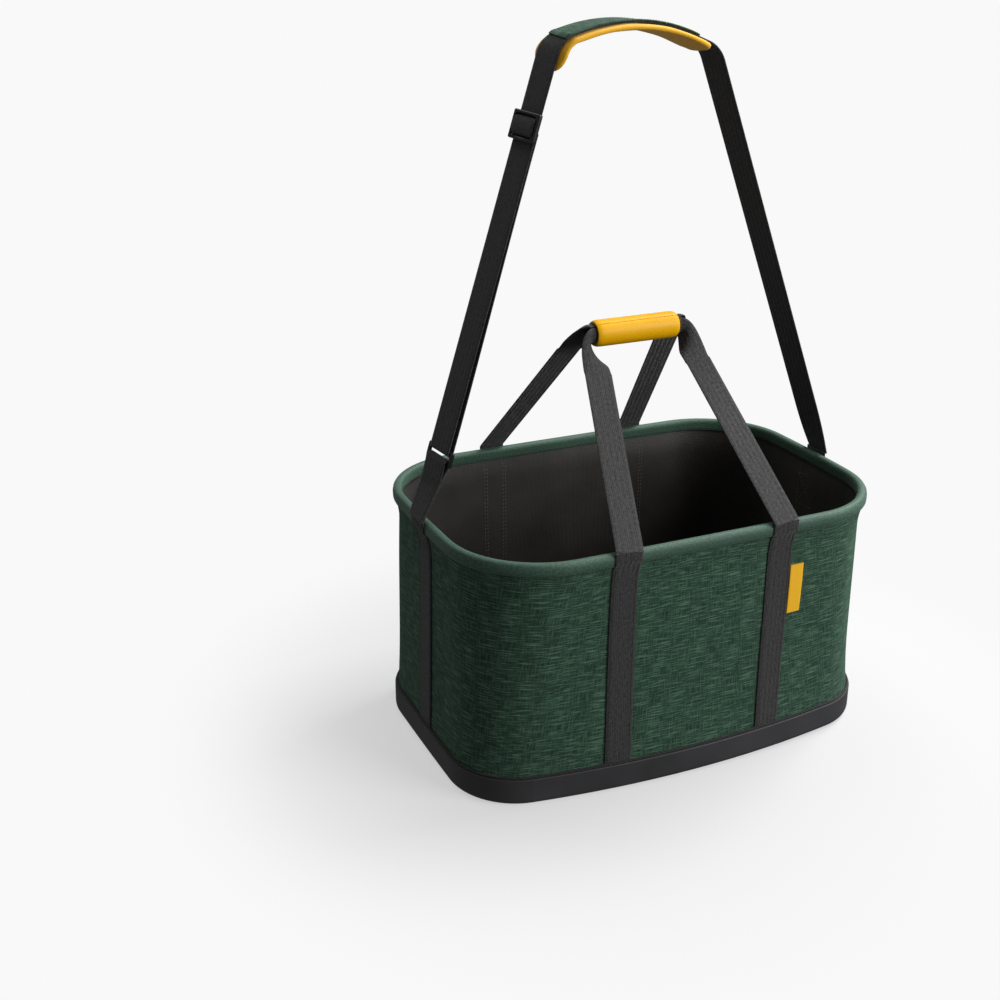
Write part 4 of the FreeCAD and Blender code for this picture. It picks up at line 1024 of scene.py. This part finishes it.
# ---- ring and slide ----
# Black acetal fittings, injection moulded with rounded bars: a plain ring with one slot, and a
# three-bar slide that the strap threads through. Acetal is slick, so its edges catch the light.
acetal, tree = finish("moulded_black_acetal")
place = add(tree, "ShaderNodeTexCoord")
flow = add(tree, "ShaderNodeTexNoise", {"Vector": place.outputs["Object"], "Scale": 160.0, "Detail": 3.0})
tone = add(tree, "ShaderNodeValToRGB", {"Fac": flow.outputs["Fac"]})
tone.color_ramp.elements[0].color, tone.color_ramp.elements[1].color = linear("#0f0f10"), linear("#1c1c1e")
rough = add(tree, "ShaderNodeMapRange", {"Value": flow.outputs["Fac"], "To Min": 0.28, "To Max": 0.4})
bump = add(tree, "ShaderNodeBump", {"Height": flow.outputs["Fac"], "Strength": 0.1, "Distance": 0.0002})
shader = add(tree, "ShaderNodeBsdfPrincipled",
             {"Base Color": tone.outputs["Color"], "Roughness": rough.outputs[0], "IOR": 1.48,
              "Normal": bump.outputs[0]})
add(tree, "ShaderNodeOutputMaterial", {"Surface": shader.outputs[0]})


def moulded_frame(name, columns, rows, holes, thick, spot):
    """A flat frame with holes, laid on the strap's left leg and given round edges all over."""
    bpy.ops.object.select_all(action="DESELECT")
    bpy.ops.mesh.primitive_grid_add(x_subdivisions=len(columns) - 1, y_subdivisions=len(rows) - 1,
                                    size=1)
    made = bpy.context.object
    made.name = name
    for vertex in made.data.vertices:
        i = round((vertex.co.x + 0.5) * (len(columns) - 1))
        j = round((vertex.co.y + 0.5) * (len(rows) - 1))
        vertex.co = (columns[i], rows[j], thick / 2)
    bpy.ops.object.mode_set(mode="EDIT")
    bpy.ops.mesh.select_all(action="DESELECT")
    bpy.ops.mesh.select_mode(type="FACE")
    bpy.ops.object.mode_set(mode="OBJECT")
    for face in made.data.polygons:
        centre = face.center
        face.select = any(columns[i] < centre.x < columns[i + 1] and rows[j] < centre.y < rows[j + 1]
                          for i, j in holes)
    bpy.ops.object.mode_set(mode="EDIT")
    bpy.ops.mesh.delete(type="FACE")
    bpy.ops.object.mode_set(mode="OBJECT")
    thicken(made, thick)
    bpy.ops.object.modifier_add(type="BEVEL")
    made.modifiers[-1].width, made.modifiers[-1].segments = 0.0013, 2
    made.modifiers[-1].limit_method = "ANGLE"
    bpy.ops.object.modifier_apply(modifier=made.modifiers[-1].name)
    bpy.ops.object.modifier_add(type="SUBSURF")
    made.modifiers[-1].levels = made.modifiers[-1].render_levels = 2
    bpy.ops.object.modifier_apply(modifier=made.modifiers[-1].name)
    bpy.ops.object.shade_smooth_by_angle(angle=math.radians(50))
    made.data.transform(Matrix(((LEG_ACROSS.x, ALONG.x, LEG_OUT.x, spot.x),
                                (LEG_ACROSS.y, ALONG.y, LEG_OUT.y, spot.y),
                                (LEG_ACROSS.z, ALONG.z, LEG_OUT.z, spot.z), (0, 0, 0, 1))))
    made.data.materials.append(acetal)
    return made


half, bar = 0.019, 0.0235
ring = moulded_frame("strap_ring_frame", [-bar, -half, half, bar], [-0.0085, -0.004, 0.004, 0.0085], [(1, 1)],
                     RING_THICK, on_leg(0, -RING_DROP))
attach(ring, "strap")
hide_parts("strap_ring")

SLIDE_OUT = WEB_THICK / 2 + 0.0004 + 0.002
half, bar = 0.01875, 0.02205
slide = moulded_frame("slide_frame", [-bar, -half, half, bar],
                      [-0.015, -0.0114, -0.0018, 0.0018, 0.0114, 0.015],
                      [(1, 1), (1, 3)], 0.0052, on_leg(SLIDE, SLIDE_OUT))
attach(slide, "slider")
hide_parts("slider_frame")

# ---- webbing over the slide ----
# The hump of webbing that passes over the slide's middle bar and dives back through both slots.
frames = []
for k in range(25):
    share = k / 24
    angle = math.pi * (share - 0.5)
    distance = 0.0094 * math.sin(angle)
    rise = 0.0046 * max(0.0, math.cos(angle)) ** 0.6 - 0.0012
    frames.append((distance, rise))
hump = []
for k, (distance, rise) in enumerate(frames):
    before, after = frames[max(k - 1, 0)], frames[min(k + 1, 24)]
    slope = Vector((after[0] - before[0], after[1] - before[1])).normalized()
    facing = LEG_OUT * slope.x - ALONG * slope.y
    hump.append((on_leg(SLIDE + distance, SLIDE_OUT + rise), LEG_ACROSS, facing, 1.0, 1.0, None))
wrap = woven_band("slide_wrap_band", hump, cut_end(STRAP_WEB, WEB_THICK * 0.9), webbing)
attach(wrap, "slider")
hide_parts("slider_wrap")

# ---- shoulder pad ----
# Yellow stitched foam under the strap where it lies on the shoulder, 52 mm wide with rounded ends,
# and on the strap a strip of the wall's canvas sewn down along both sides.
pad_foam, tree = finish("yellow_knit_over_foam")
chart = add(tree, "ShaderNodeUVMap", uv_map="cloth")
knit = add(tree, "ShaderNodeTexVoronoi", {"Vector": chart.outputs[0], "Scale": 420.0},
           voronoi_dimensions="2D")
worn = add(tree, "ShaderNodeTexNoise", {"Vector": chart.outputs[0], "Scale": 60.0}, noise_dimensions="2D")
tone = add(tree, "ShaderNodeValToRGB", {"Fac": worn.outputs["Fac"]})
tone.color_ramp.elements[0].color, tone.color_ramp.elements[1].color = linear("#eaaa00"), linear("#f6bb08")
bump = add(tree, "ShaderNodeBump", {"Height": knit.outputs["Distance"], "Strength": 0.35, "Distance": 0.0004})
shader = add(tree, "ShaderNodeBsdfPrincipled",
             {"Base Color": tone.outputs["Color"], "Roughness": 0.7, "Normal": bump.outputs[0],
              "Sheen Weight": 0.15})
add(tree, "ShaderNodeOutputMaterial", {"Surface": shader.outputs[0]})

PAD_WIDE, PAD_THICK, COVER_WIDE, COVER_THICK = 0.052, 0.008, 0.040, 0.0016
COVER_START, COVER_END, PAD_TRIM = 0.036, 0.022, 0.018
low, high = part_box("pad_cushion")
whole = strap_run(0.30, 0.30, 0.0, 2)
lengths = [0.0]
for a, b in zip(whole, whole[1:]):
    lengths.append(lengths[-1] + (b[0] - a[0]).length)
inside = [i for i, item in enumerate(whole) if item[0].z > low.z + 0.003 and low.x < item[0].x < high.x]
first, last = lengths[inside[0]], lengths[inside[-1]] - PAD_TRIM


def strap_at(distance):
    """The frame of the strap's line at a distance along it, past the start of the pad."""
    for i in range(len(whole) - 1):
        if lengths[i + 1] >= distance:
            share = (distance - lengths[i]) / (lengths[i + 1] - lengths[i])
            a, b = whole[i], whole[i + 1]
            across, out = [a[way].lerp(b[way], share).normalized() for way in (1, 2)]
            return a[0].lerp(b[0], share), across, out
    return whole[-1][:3]


def stuffed(width, thick, count=28, power=3.2):
    """The outline of a soft pad's cut end, full in the middle with a thin rounded edge."""
    ring = []
    for i in range(count):
        angle = 2 * math.pi * i / count
        c, s = math.cos(angle), math.sin(angle)
        ring.append((math.copysign(abs(c) ** (2 / power), c) * width / 2,
                     math.copysign(abs(s) ** (2 / power), s) * thick / 2))
    return ring


frames = []
count = 90
for k in range(count + 1):
    share = 0.5 - 0.5 * math.cos(math.pi * k / count)
    centre, across, out = strap_at(first + (last - first) * share)
    near = min(share, 1 - share) * (last - first)
    wide = min(1.0, (1 - (1 - min(1.0, near / 0.026)) ** 2.4) ** (1 / 2.4) + 0.02)
    deep = min(1.0, (1 - (1 - min(1.0, near / 0.010)) ** 2) ** 0.5 + 0.05)
    swell = 1 + 0.05 * math.sin(share * 29)
    under = centre - out * (WEB_THICK / 2 + PAD_THICK / 2 + 0.0001)
    frames.append((under, across, out, wide, deep * swell * 0.94, None))
cushion = woven_band("pad_foam_body", frames, stuffed(PAD_WIDE, PAD_THICK), pad_foam)
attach(cushion, "strap")
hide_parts("pad_cushion")

frames = []
for k in range(81):
    share = 0.5 - 0.5 * math.cos(math.pi * k / 80)
    centre, across, out = strap_at(first + COVER_START + (last - first - COVER_START - COVER_END) * share)
    near = min(share, 1 - share) * (last - first)
    wide = min(1.0, 0.88 + near / 0.05)
    frames.append((centre + out * (WEB_THICK / 2 + COVER_THICK / 2 + 0.0001), across, out, wide, 1.0, None))
cover = woven_band("pad_cover_canvas", frames, cut_end(COVER_WIDE, COVER_THICK, 12), wall_cloth)
sew(cover, seam_thread, [seam_on(frames, shift, COVER_THICK / 2) for shift in (-0.0175, 0.0175)])
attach(cover, "strap")
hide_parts("pad_cover")
